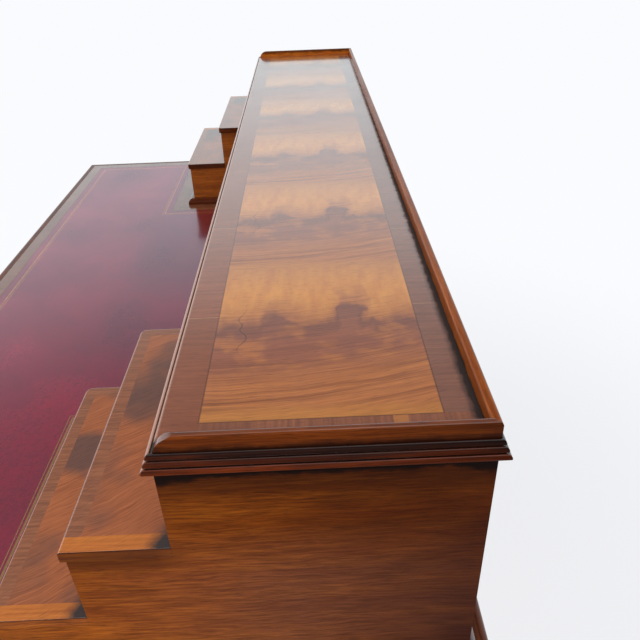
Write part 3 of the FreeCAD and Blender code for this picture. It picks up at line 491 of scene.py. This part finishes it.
    # A hair-thin dark joint where the bands meet the field.
    outside = m.add("Math", m.add("Math", off_end, off_front, operation="MAXIMUM"), off_back,
                    operation="MAXIMUM")
    joint = m.add("MapRange", m.add("Math", outside, operation="ABSOLUTE"), 0.2, 0.7, 0.6, 0.0)
    colour = m.add("MixRGB", joint, colour, "3c2118")
    colour, relief = with_pores(m, m.add("CombineXYZ", axes[1], bent, axes[2]), colour, fine,
                                0.4, "3a1d12")

    # Wax and dust with painted shade along the gallery's foot, thickest near the right-hand
    # corner.
    ragged = m.add("TexNoise", stretched(m, place_mm(m), 9, 9, 9), None, 1.0, 3.0, 0.6)
    to_rail = m.add("Math", m.add("Math", axes[1], high.y - GALLERY, operation="SUBTRACT"),
                    m.add("Math", off_end, END_BAND - GALLERY, operation="SUBTRACT"),
                    operation="MAXIMUM")
    thinner = m.add("MapRange", axes[0], low.x + 200, high.x - 60, -3.6, 1.2)
    to_rail = m.add("Math", to_rail, thinner, operation="ADD")
    to_rail = m.add("Math", to_rail, m.add("Math", ragged, 6.0, operation="MULTIPLY"),
                    operation="ADD")
    dust_and_shade = m.add("MapRange", to_rail, -4.0, 1.0, 0.0, 0.95)
    colour = m.add("MixRGB", dust_and_shade, colour, "140e0d")
    return polished(m, colour, relief, dull=0.27, shine=0.15, depth=0.03, dirt=dust_and_shade)


# ---------------------------------------------------------------- step veneer

EDGING = 12.0         # how wide the banding round a step board is


def step_veneer(name, front, riser, smoke_x, coat_ior, top, seed):
    """Figured walnut on a step: slanting grain with a smoky patch smoke_x from the desk's middle,
    narrow banding on its open edges and a brighter band at its outer end, grimy and darkened by
    painted shade towards the riser behind it. Its built-up polish mirrors more than one thin film
    would."""
    m = Finish(name)
    low, high = box_mm("high_step_right")
    place = place_mm(m)
    axes = m.add("SeparateXYZ", place).outputs
    out = m.add("Math", axes[0], operation="ABSOLUTE")
    spot = m.add("CombineXYZ", out, axes[1], m.add("Math", axes[0], 0.2, operation="MULTIPLY"))
    warped = wandering(m, spot, (44, 34, 60), (6, 5, 0))
    moved = m.add("SeparateXYZ", warped).outputs
    slant = m.add("Math", moved[0], m.add("Math", moved[1], 0.65, operation="MULTIPLY"),
                  operation="ADD")
    lines = m.add("TexNoise", stretched(m, m.add("CombineXYZ", slant, moved[1], axes[2]),
                                        1.1, 40, 60), None, 1.0, 3.0, 0.65)
    smoky = m.add("TexNoise", stretched(m, warped, 62, 60, 40), None, 1.0, 2.0, 0.5)
    field = m.add("MixRGB", m.add("MapRange", lines, 0.35, 0.7), "b5683a", "8e4a26")
    settled = m.add("MapRange", apart(m, out, smoke_x), 10.0, 44.0, 0.28, 0.0)
    smoky = m.add("Math", smoky, settled, operation="ADD")
    field = m.add("MixRGB", m.add("MapRange", smoky, 0.5, 0.72, 0.0, 0.75), field, "4c3c3b")
    band_lines = m.add("TexNoise", stretched(m, place, 2.0, 40, 40), None, 1.0, 2.0, 0.6)
    edge_band = m.add("MixRGB", m.add("MapRange", band_lines, 0.3, 0.7), "a06240", "7c4a32")
    outer_band = m.add("MixRGB", m.add("MapRange", band_lines, 0.3, 0.7), "d07a2c", "b05f20")
    in_front = m.add("Math", axes[1], front + EDGING, operation="LESS_THAN")
    at_inner = m.add("Math", out, low.x + EDGING, operation="LESS_THAN")
    edging = m.add("Math", in_front, at_inner, operation="MAXIMUM")
    colour = m.add("MixRGB", edging, field, edge_band)
    at_outer = m.add("Math", out, high.x - EDGING, operation="GREATER_THAN")
    colour = m.add("MixRGB", at_outer, colour, outer_band)

    # Wax and dust with painted shade in front of the riser, thickest at the outer end.
    ragged = m.add("TexNoise", stretched(m, place, 7, 7, 7), None, 1.0, 3.0, 0.6)
    loose = m.add("Math", m.add("Math", ragged, 0.5, operation="SUBTRACT"), 8.0,
                  operation="MULTIPLY")
    to_riser = m.add("Math", m.add("Math", axes[1], riser, operation="SUBTRACT"), loose,
                     operation="ADD")
    thicker = m.add("MapRange", out, high.x - 22, high.x - 4, 0.0, 6.0)
    to_riser = m.add("Math", to_riser, thicker, operation="ADD")
    grime_and_shade = m.add("MapRange", to_riser, -11.0, -2.0, 0.0, 0.95)
    at_corner = m.add("MapRange", out, high.x - 34, high.x - 8, 0.2, 1.0)
    colour = m.add("MixRGB", m.add("Math", grime_and_shade, at_corner, operation="MULTIPLY"), colour,
                   "232428")
    colour, relief = with_pores(m, m.add("CombineXYZ", moved[1], slant, axes[2]), colour, lines)

    # The board's end faces, dark along the top, where the veneer's own edge and its glue show.
    # The outer ends take the case end's veneer, with its painted shade and painted reflection
    # haze.
    inner_end = plain_grain(m, along_grain(m, place, "y", 6), "6a2e08", "3a1604")[0]
    outer_end = end_veneer(m, place, seed)[0]
    outer_half = m.add("Math", out, (low.x + high.x) / 2, operation="GREATER_THAN")
    end = m.add("MixRGB", outer_half, inner_end, outer_end)
    glue_line = m.add("MapRange", axes[2], top - 1.6, top - 0.6, 0.0, 0.7)
    end = m.add("MixRGB", glue_line, end, "1c0a04")
    colour = m.add("MixRGB", facing_end(m, 0.0, 1.0), colour, end)
    return polished(m, colour, relief, end_coat=0.01, specular=0.03, depth=0.04,
                    coat_ior=coat_ior)


# ---------------------------------------------------------------- drawer fronts

BORDER = 14.0         # how wide a drawer front's crossbanding is, with its bead
BEAD = 2.6            # the bead, with a hair more so that its whole edge is stained
BEAD_PROUD = 1.0      # how far the bead stands out in front of the veneer


def drawer_veneer(node, seed):
    """A drawer front: figured veneer inside a crossbanded border and a dark cockbead."""
    m = Finish(f"figured_walnut_{node}")
    low, high = box_mm(node)
    middle = (low + high) / 2
    half = (high - low) / 2
    place = place_mm(m)
    axes = m.add("SeparateXYZ", place).outputs
    to_side = beyond(m, axes[0], middle.x, half.x)
    to_top = beyond(m, axes[2], middle.z, half.z)
    nearest = m.add("Math", to_side, to_top, operation="MAXIMUM")
    spot = along_grain(m, place, "x", seed)
    warped = wandering(m, spot, (70, 40, 30), (12, 3, 9))
    lines = m.add("TexNoise", stretched(m, warped, 90, 3, 2.0), None, 1.0, 3.0, 0.65)
    smoky = m.add("TexNoise", stretched(m, warped, 80, 60, 26), None, 1.0, 3.0, 0.5)
    field = m.add("MixRGB", m.add("MapRange", lines, 0.35, 0.7), "ae6834", "824620")
    field = m.add("MixRGB", m.add("MapRange", smoky, 0.48, 0.66, 0.0, 0.8), field, "5b352a")
    upright = m.add("Math", to_top, to_side, operation="GREATER_THAN")
    across = m.add("MixRGB", upright, spot, along_grain(m, place, "z", seed))
    band_lines = m.add("TexNoise", stretched(m, across, 40, 2, 2), None, 1.0, 2.0, 0.6)
    band = m.add("MixRGB", m.add("MapRange", band_lines, 0.3, 0.7), "8e5633", "663c24")
    bordered = m.add("Math", nearest, -BORDER, operation="GREATER_THAN")
    colour = m.add("MixRGB", bordered, field, band)
    joint = m.add("MapRange", apart(m, nearest, -BORDER), 0.2, 0.7, 0.5, 0.0)
    colour = m.add("MixRGB", joint, colour, "3c2118")
    bead = m.add("MixRGB", m.add("MapRange", lines, 0.35, 0.7), "5a2f1c", "3a1c11")
    beaded = m.add("Math", nearest, -BEAD, operation="GREATER_THAN")
    colour = m.add("MixRGB", beaded, colour, bead)
    colour = m.add("MixRGB", in_corners(m, 5, 0.7), colour, "150c08")
    colour, relief = with_pores(m, warped, colour, lines)
    return polished(m, colour, relief, coat=0.6, specular=0.3, depth=0.04, coat_ior=1.5)


# ---------------------------------------------------------------- table top

# Two gilt lines on the leather: how far in each lies from its edge, and half its width.
GILT_LINES = ((12.0, 1.1), (16.0, 0.45))


def inside(m, out_x, y, half_x, front, back):
    """How far a point lies inside a rectangle about the desk's middle."""
    from_side = m.add("Math", half_x, out_x, operation="SUBTRACT")
    from_front = m.add("Math", y, front, operation="SUBTRACT")
    from_back = m.add("Math", back, y, operation="SUBTRACT")
    nearest = m.add("Math", from_side, from_front, operation="MINIMUM")
    return m.add("Math", nearest, from_back, operation="MINIMUM")


def tooled_leather():
    """Burgundy skiver, polished over: fine pebble grain, darker creases, a few paler scuffs,
    painted shade at the back on the left near the far steps, with worn gilt lines set in from its
    edge."""
    m = Finish("burgundy_skiver_leather_glazed")
    low, high = box_mm("leather_panel")
    inner_x = box_mm("partition_right")[0].x
    low_front = box_mm("end_panel_right")[0].y
    margin = case_low.y - high.y
    place = place_mm(m)
    axes = m.add("SeparateXYZ", place).outputs
    out_x = m.add("Math", axes[0], operation="ABSOLUTE")
    wide = inside(m, out_x, axes[1], high.x, low.y, low_front - margin)
    narrow = inside(m, out_x, axes[1], inner_x - margin, low.y, high.y)
    depth = m.add("Math", wide, narrow, operation="MAXIMUM")

    pebble = m.add("TexVoronoi", stretched(m, place, 1.3, 1.3, 1.3), None, 1.0,
                   feature="SMOOTH_F1", named={"Smoothness": 0.35})
    creases = m.add("TexNoise", stretched(m, place, 6, 6, 6), None, 1.0, 4.0, 0.6)
    cloudy = m.add("TexNoise", stretched(m, place, 130, 130, 130), None, 1.0, 4.0, 0.6)
    colour = m.add("MixRGB", m.add("MapRange", cloudy, 0.3, 0.7), "921a2c", "68111c")
    colour = m.add("MixRGB", m.add("MapRange", creases, 0.45, 0.75, 0.0, 0.35), colour, "33060e")
    # Painted shade on the leather at the back on the left, near the far steps.
    shaded = m.add("Math", m.add("MapRange", axes[1], -120.0, -60.0, 0.0, 0.5),
                   m.add("MapRange", axes[0], 100.0, -120.0), operation="MULTIPLY")
    colour = m.add("MixRGB", shaded, colour, "4a0812")
    scuffs = m.add("TexNoise", stretched(m, place, 90, 12, 40), None, 1.0, 5.0, 0.7)
    colour = m.add("MixRGB", m.add("MapRange", scuffs, 0.62, 0.8, 0.0, 0.2), colour, "842636")
    gilding = []
    for inset, half_line in GILT_LINES:
        gilding.append(m.add("Math", apart(m, depth, inset), half_line, operation="LESS_THAN"))
    lines = m.add("Math", *gilding, operation="MAXIMUM")
    wear_and_highlight = m.add("MapRange", creases, 0.38, 0.66, 1.0, 0.35)
    gilt = m.add("Math", m.add("Math", lines, wear_and_highlight, operation="MULTIPLY"), 0.9,
                 operation="MULTIPLY")
    colour = m.add("MixRGB", gilt, colour, "d2ae5e")
    relief = m.add("Math", m.add("Math", pebble, 0.35, operation="MULTIPLY"),
                   m.add("Math", lines, 0.6, operation="MULTIPLY"), operation="SUBTRACT")
    roughness = m.add("MapRange", cloudy, 0.3, 0.7, 0.2, 0.28)
    bump = m.add("Bump", 0.35, 0.12 * MM, named={"Height": relief})
    shader = m.add("BsdfPrincipled", colour, gilt, roughness, named={
        "Normal": bump, "IOR": 1.9, "Specular Tint": "ffcaff", "Coat Weight": 0.6,
        "Coat Roughness": 0.12, "Coat IOR": 2.0})
    m.add("OutputMaterial", shader)
    return m.material


def crossbanded_walnut(name, frame_of, light, dark, seed):
    """A border with its grain set square to the edge that it follows."""
    m = Finish(name)
    place = place_mm(m)
    along = m.add("SeparateXYZ", strip_grain(m, *frame_of, seed=seed)).outputs
    crossed = m.add("CombineXYZ", along[1], along[0], along[2])
    waved = wandering(m, crossed, (30, 60, 30), (0, 3, 3))
    lines = m.add("TexNoise", stretched(m, waved, 60, 2.4, 8), None, 1.0, 3.0, 0.65)
    cloudy = m.add("TexNoise", stretched(m, place, 70, 70, 70), None, 1.0, 3.0, 0.55)
    colour = m.add("MixRGB", m.add("MapRange", lines, 0.33, 0.7), light, dark)
    colour = m.add("MixRGB", m.add("MapRange", cloudy, 0.35, 0.7, 0.0, 0.6), colour, dark)
    colour = m.add("MixRGB", in_corners(m, 8, 0.8), colour, "150c08")
    colour, relief = with_pores(m, waved, colour, lines)
    return polished(m, colour, relief, depth=0.04)


# ---------------------------------------------------------------- linings and metal

def waxed_oak(name, seed):
    """Planed oak with a little wax: open straight grain, fine dark grooves along it, greyed
    by handling."""
    m = Finish(name)
    place = place_mm(m)
    facing = m.add("SeparateXYZ", m.add("NewGeometry").outputs["Normal"]).outputs
    cross_board = m.add("Math", m.add("Math", facing[1], operation="ABSOLUTE"), 0.5,
                        operation="GREATER_THAN")
    spot = m.add("MixRGB", cross_board, along_grain(m, place, "y", seed),
                 along_grain(m, place, "x", seed))
    waved = wandering(m, spot, (160, 60, 60), (0, 3, 3))
    growth = m.add("TexNoise", stretched(m, waved, 420, 7, 7), None, 1.0, 3.0, 0.6)
    grooves = m.add("TexNoise", stretched(m, waved, 26, 0.7, 0.7), None, 1.0, 2.0, 0.6)
    handled = m.add("TexNoise", stretched(m, place, 120, 120, 120), None, 1.0, 4.0, 0.6)
    colour = m.add("MixRGB", m.add("MapRange", growth, 0.35, 0.65), "b88a5a", "966846")
    colour = m.add("MixRGB", m.add("MapRange", grooves, 0.52, 0.72, 0.0, 0.7), colour, "5f4428")
    colour = m.add("MixRGB", m.add("MapRange", handled, 0.45, 0.75, 0.0, 0.4), colour, "6a5138")
    colour = m.add("MixRGB", in_corners(m, 9, 0.6), colour, "3a2a1c")
    roughness = m.add("MapRange", handled, 0.3, 0.7, 0.48, 0.66)
    bump = m.add("Bump", 0.5, 0.12 * MM, named={"Height": grooves})
    shader = m.add("BsdfPrincipled", colour, 0.0, roughness, named={
        "Normal": bump, "IOR": 1.5, "Coat Weight": 0.15, "Coat Roughness": 0.4})
    m.add("OutputMaterial", shader)
    return m.material


def lacquered_brass():
    """Turned brass under old lacquer: fine rings from the lathe, brown where the lacquer has
    worn and dirt has settled."""
    m = Finish("turned_brass_lacquered")
    place = place_mm(m)
    tarnish = m.add("TexNoise", stretched(m, place, 5, 5, 5), None, 1.0, 4.0, 0.6)
    rings = m.add("TexNoise", stretched(m, place, 60, 0.35, 60), None, 1.0, 1.0, 0.5)
    colour = m.add("MixRGB", m.add("MapRange", tarnish, 0.4, 0.75), "d9b466", "8f6a34")
    colour = m.add("MixRGB", in_corners(m, 4, 0.85), colour, "2f2012")
    roughness = m.add("MapRange", tarnish, 0.3, 0.7, 0.18, 0.42)
    bump = m.add("Bump", 0.25, 0.03 * MM, named={"Height": rings})
    shader = m.add("BsdfPrincipled", colour, 1.0, roughness, named={
        "Normal": bump, "Coat Weight": 0.4, "Coat Roughness": 0.12})
    m.add("OutputMaterial", shader)
    return m.material


# ---------------------------------------------------------------- dressing the desk

def dress(material, *nodes):
    """Puts a material in every slot of the nodes."""
    for node in nodes:
        for slot in frame["nodes"][node].material_slots:
            slot.material = material


BEAD_WIDTH = 11       # of the bead round the superstructure's foot
bead_low, bead_high = box_mm("base_bead")
board_low, board_high = box_mm("top_board")
cornice_low, cornice_high = box_mm("cornice_moulding")
# The rectangles that the mouldings run round: half the length, the middle, half the depth.
case_frame = (case_high.x, (case_low.y + case_high.y) / 2, (case_high.y - case_low.y) / 2)
table_frame = (board_high.x, (board_low.y + board_high.y) / 2, (board_high.y - board_low.y) / 2)
bead_frame = (case_high.x, (bead_low.y + bead_high.y) / 2,
              (bead_high.y - bead_low.y) / 2 - BEAD_WIDTH)

# Mouldings and rails: a full film on their rounded fronts, hardly any on their ends.
moulded = {"coat": 1.0, "end_coat": 0.01, "specular": 0.03, "coat_ior": 1.9, "dull": 0.42,
           "shine": 0.28}
# Upright faces were wiped thinner and have dulled, so they mirror less of the room.
upright = {"coat": 0.35, "specular": 0.1, "coat_ior": 1.5, "dull": 0.42, "shine": 0.28}
# Shelves and dividers have only wax on them.
wax_only = {"coat": 0.1, "specular": 0.3, "dull": 0.5, "shine": 0.35}
rail_tones = ("9c5420", "5c2a0c")
lining_tones = ("7b4b2c", "55321d")

dress(case_top_veneer(), "case_top")
# The cornice: painted shade towards the back of its ends, and a painted pale highlight along its
# front.
dress(moulding_walnut("reeded_walnut_moulding_french_polished", case_frame, "78300c", "401504",
                      reach=5, dust_and_shade=(cornice_low.z + 3.0, cornice_high.z - 1.0),
                      wear_and_highlight="a87660", **moulded), "cornice_moulding")
dress(moulding_walnut("walnut_edge_moulding_french_polished", table_frame, "7a3a16", "48200c",
                      reach=4, seed=3, **upright), "top_edge_moulding")
dress(moulding_walnut("walnut_bead_french_polished", bead_frame, "6a2c0e", "3a1607",
                      reach=9, seed=5, **moulded), "base_bead")
# Old wax lies along the foot of the right-hand rail, old wax with painted shade along the back
# rail's foot, and painted shade on the left one's top.
dress(gallery_walnut("walnut_gallery_left_french_polished", "y", "e08228", "9c4a12", seed=1,
                     waxed=(5.0, 9.0, 0.0, 0.75), **moulded), "gallery_left")
dress(gallery_walnut("walnut_gallery_right_french_polished", "y", "98480e", "542205", seed=2,
                     waxed=(1.5, 6.5, 0.9, 0.0), **moulded), "gallery_right")
dress(gallery_walnut("walnut_gallery_back_french_polished", "x", "ac5a1a", "74340b", seed=20,
                     waxed=(0.5, 2.5, 0.9, 0.0), **upright), "gallery_back")
for side, seed in (("left", 1), ("right", 2)):
    dress(end_panel_walnut(f"walnut_end_panel_{side}_french_polished", seed + 4,
                           **{**upright, "specular": 0.02, "end_coat": 0.01}),
          f"end_panel_{side}")
    dress(straight_walnut(f"walnut_partition_{side}_french_polished", "y", "b8641e", "7c3c10",
                          seed + 8, **upright), f"partition_{side}")
    dress(straight_walnut(f"walnut_end_rail_{side}_french_polished", "y", *rail_tones,
                          seed + 12, **upright), f"end_rail_{side}")
# Behind a low step rises the middle drawer's beaded front, behind a high one the top's edge.
for tier, riser in (("low", box_mm("middle_drawer_right_front")[0].y), ("high", case_low.y)):
    front = box_mm(f"{tier}_step_right")[0].y
    for side, smoke_x, mirroring, seed in (("left", 575.0, 2.5, 5), ("right", 448.0, 2.0, 6)):
        node = f"{tier}_step_{side}"
        dress(step_veneer(f"figured_walnut_{node}_french_polished", front, riser, smoke_x,
                          mirroring, box_mm(node)[1].z, seed), node)
dress(tooled_leather(), "leather_panel")
dress(crossbanded_walnut("crossbanded_walnut_border_french_polished", table_frame, "8f5636",
                         "643726", 2), "top_board")
dress(straight_walnut("walnut_rails_french_polished", "x", *rail_tones, 30, **upright),
      "back_rail", "upper_drawer_rail", "lower_drawer_rail")
dress(straight_walnut("walnut_uprights_french_polished", "z", *rail_tones, 31, **upright),
      "rail_dividers")
for number, leg in enumerate(("leg_front_left", "leg_front_right", "leg_back_left",
                              "leg_back_right")):
    dress(straight_walnut(f"walnut_{leg}_french_polished", "z", "9a5220", "5a280b", 40 + number,
                          **upright), leg)
dress(straight_walnut("walnut_back_french_polished", "x", "8e4e20", "56290e", 50, **upright),
      "case_back")
dress(straight_walnut("walnut_linings_waxed", "x", *lining_tones, 51, **wax_only),
      "case_floor", "letter_shelf")
dress(straight_walnut("walnut_pigeonhole_dividers_waxed", "z", *lining_tones, 52, **wax_only),
      "pigeonhole_dividers")
dress(waxed_oak("oak_runners_waxed", 1), "drawer_runners", "drawer_kickers")

brass = lacquered_brass()
box_oak = waxed_oak("oak_drawer_linings_waxed", 2)


def turned_knob(name, x, front, z, radius, reach, body, stands_for):
    """A brass knob turned in one piece: a stepped rose, a waist and a domed head. The
    profile is in shares of its radius and of how far it reaches from the drawer's front.
    It is turned in millimetres and brought to metres at the end."""
    profile = [
        (0.00, 0.00), (0.74, 0.00), (0.74, 0.07), (0.58, 0.12), (0.50, 0.17), (0.36, 0.24),
        (0.33, 0.36), (0.42, 0.46), (0.78, 0.52), (0.98, 0.60), (1.00, 0.68), (0.90, 0.80),
        (0.74, 0.86), (0.70, 0.84), (0.46, 0.95), (0.22, 1.00), (0.00, 1.00),
    ]
    knob = bmesh.new()
    line = [knob.verts.new((across * radius, -out * reach, 0)) for across, out in profile]
    edges = [knob.edges.new(pair) for pair in zip(line, line[1:])]
    bmesh.ops.spin(knob, geom=line + edges, cent=(0, 0, 0), axis=(0, 1, 0), angle=2 * math.pi,
                   steps=40, use_merge=True)
    bmesh.ops.remove_doubles(knob, verts=knob.verts, dist=0.01)
    bmesh.ops.recalc_face_normals(knob, faces=knob.faces)
    # The turned rings with a sharp edge, more than 0.5 rad, are softened.
    crisp = [edge for edge in knob.edges
             if abs(edge.verts[0].co.y - edge.verts[1].co.y) < 1e-4
             and edge.calc_face_angle(0) > 0.5]
    bmesh.ops.bevel(knob, geom=crisp, affect="EDGES", offset=0.35, segments=2, profile=0.5,
                    material=-1)
    bmesh.ops.translate(knob, verts=knob.verts, vec=(x, front, z))
    bmesh.ops.scale(knob, verts=knob.verts, vec=(MM, MM, MM))
    mesh = bpy.data.meshes.new(name)
    knob.to_mesh(mesh)
    knob.free()
    mesh.shade_smooth()
    mesh.materials.append(brass)
    piece = bpy.data.objects.new(name, mesh)
    bpy.context.scene.collection.objects.link(piece)
    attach(piece, body)
    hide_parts(stands_for)


drawers = [name for name in frame["bodies"] if name != "desk"]
for number, drawer in enumerate(drawers):
    front_node = f"{drawer}_front"
    dress(drawer_veneer(front_node, 60 + number), front_node)
    dress(box_oak, f"{drawer}_box")
    front = box_mm(front_node)[0].y + BEAD_PROUD
    paired = drawer.startswith("frieze")
    knobs = f"{drawer}_knobs" if paired else f"{drawer}_knob"
    low, high = box_mm(knobs)
    radius = (high.z - low.z) / 2
    hands = [("", low.x + radius)]
    if paired:
        hands = [("_left", low.x + radius), ("_right", high.x - radius)]
    for hand, x in hands:
        turned_knob(f"{drawer}_brass_knob{hand}", x, front, low.z + radius, radius,
                    front - low.y, drawer, knobs)


# ---------------------------------------------------------------- floor, light and camera

def seen_rays(m):
    """1 for the rays that see a thing itself, mirrored or through glass, and 0 for the
    rays that carry light from it."""
    light_path = m.add("LightPath").outputs
    seen = m.add("Math", light_path["Is Camera Ray"], light_path["Is Glossy Ray"],
                 operation="MAXIMUM")
    return m.add("Math", seen, light_path["Is Transmission Ray"], operation="MAXIMUM")


def studio_floor():
    """A matt pale floor that runs into white further off and keeps the desk's shadow."""
    m = Finish("studio_floor_matt_white")
    place = place_mm(m)
    grit = m.add("TexNoise", stretched(m, place, 4, 4, 4), None, 1.0, 3.0, 0.6)
    colour = m.add("MixRGB", m.add("MapRange", grit, 0.3, 0.7), "f8f9fb", "f3f4f8")
    matt = m.add("BsdfDiffuse", colour)
    white = m.add("Emission", "fbfcff", 1.0)
    away = m.add("VectorMath", place, operation="LENGTH").outputs["Value"]
    share = m.add("MapRange", away, 600.0, 2000.0, 0.70, 0.98, interpolation_type="SMOOTHSTEP")
    share = m.add("Math", share, seen_rays(m), operation="MULTIPLY")
    m.add("OutputMaterial", m.add("MixShader", share, matt, white))
    return m.material


def studio():
    """The floor, 60 metres in radius, so that no view reaches its edge."""
    floor_mesh = bmesh.new()
    bmesh.ops.create_circle(floor_mesh, cap_ends=True, segments=64, radius=60)
    mesh = bpy.data.meshes.new("studio_floor")
    floor_mesh.to_mesh(mesh)
    floor_mesh.free()
    mesh.materials.append(studio_floor())
    floor = bpy.data.objects.new("studio_floor", mesh)
    bpy.context.scene.collection.objects.link(floor)


def soft_room():
    """Even light from all round; polished wood sees cool pale walls below a dimmer ceiling."""
    m = Finish("soft_room", "worlds")
    height = m.add("SeparateXYZ", m.add("TexCoord").outputs["Generated"]).outputs["Z"]
    wall = m.add("MapRange", height, 0.36, 0.62, 1.0, 0.2, interpolation_type="SMOOTHSTEP")
    all_round = 0.5
    strength = m.add("Mix", seen_rays(m), None, all_round, wall)
    mirrored = m.add("LightPath").outputs["Is Glossy Ray"]
    colour = m.add("MixRGB", mirrored, "f8f9fd", "eefaff")
    m.add("OutputWorld", m.add("Background", colour, strength))
    bpy.context.scene.world = m.material


def soft_lamp(name, place, aim, width, watts):
    """A square lamp turned towards a point, in metres and watts."""
    lamp = bpy.data.lights.new(name, "AREA")
    lamp.shape = "SQUARE"
    lamp.size = width
    lamp.energy = watts
    holder = bpy.data.objects.new(name, lamp)
    holder.location = place
    direction = Vector(aim) - Vector(place)
    holder.rotation_euler = direction.to_track_quat("-Z", "Y").to_euler()
    bpy.context.scene.collection.objects.link(holder)


def camera():
    """Over the right-hand end, looking down along the raised back. Its place is in metres,
    and right, down and ahead are its own directions on the desk's axes."""
    place = (0.87743, 0.20212, 1.23124)
    lens = bpy.data.cameras.new("camera")
    lens.sensor_width = 36     # millimetres, as the focal length is
    lens.lens = 35.96
    lens.clip_end = 200
    holder = bpy.data.objects.new("camera", lens)
    right = Vector((0.02901076, 0.99906961, -0.03191079))
    down = Vector((0.53171377, -0.04245696, -0.84585925))
    ahead = Vector((-0.8464271, 0.00757162, -0.53245078))
    turn = Matrix((right, -down, -ahead)).transposed().to_4x4()
    holder.matrix_world = Matrix.Translation(place) @ turn
    bpy.context.scene.collection.objects.link(holder)
    bpy.context.scene.camera = holder


studio()
soft_room()
soft_lamp("window_side_light", (0.3, -2.2, 2.6), (0, 0, 0.8), width=2.0, watts=45)
soft_lamp("overhead_light", (0.4, 0.6, 3.2), (0, 0, 0.9), width=2.2, watts=12)
soft_lamp("end_light", (3.0, -0.3, 2.0), (0.6, 0.1, 0.8), width=2.0, watts=32)
camera()
bpy.context.scene.view_settings.view_transform = "Standard"
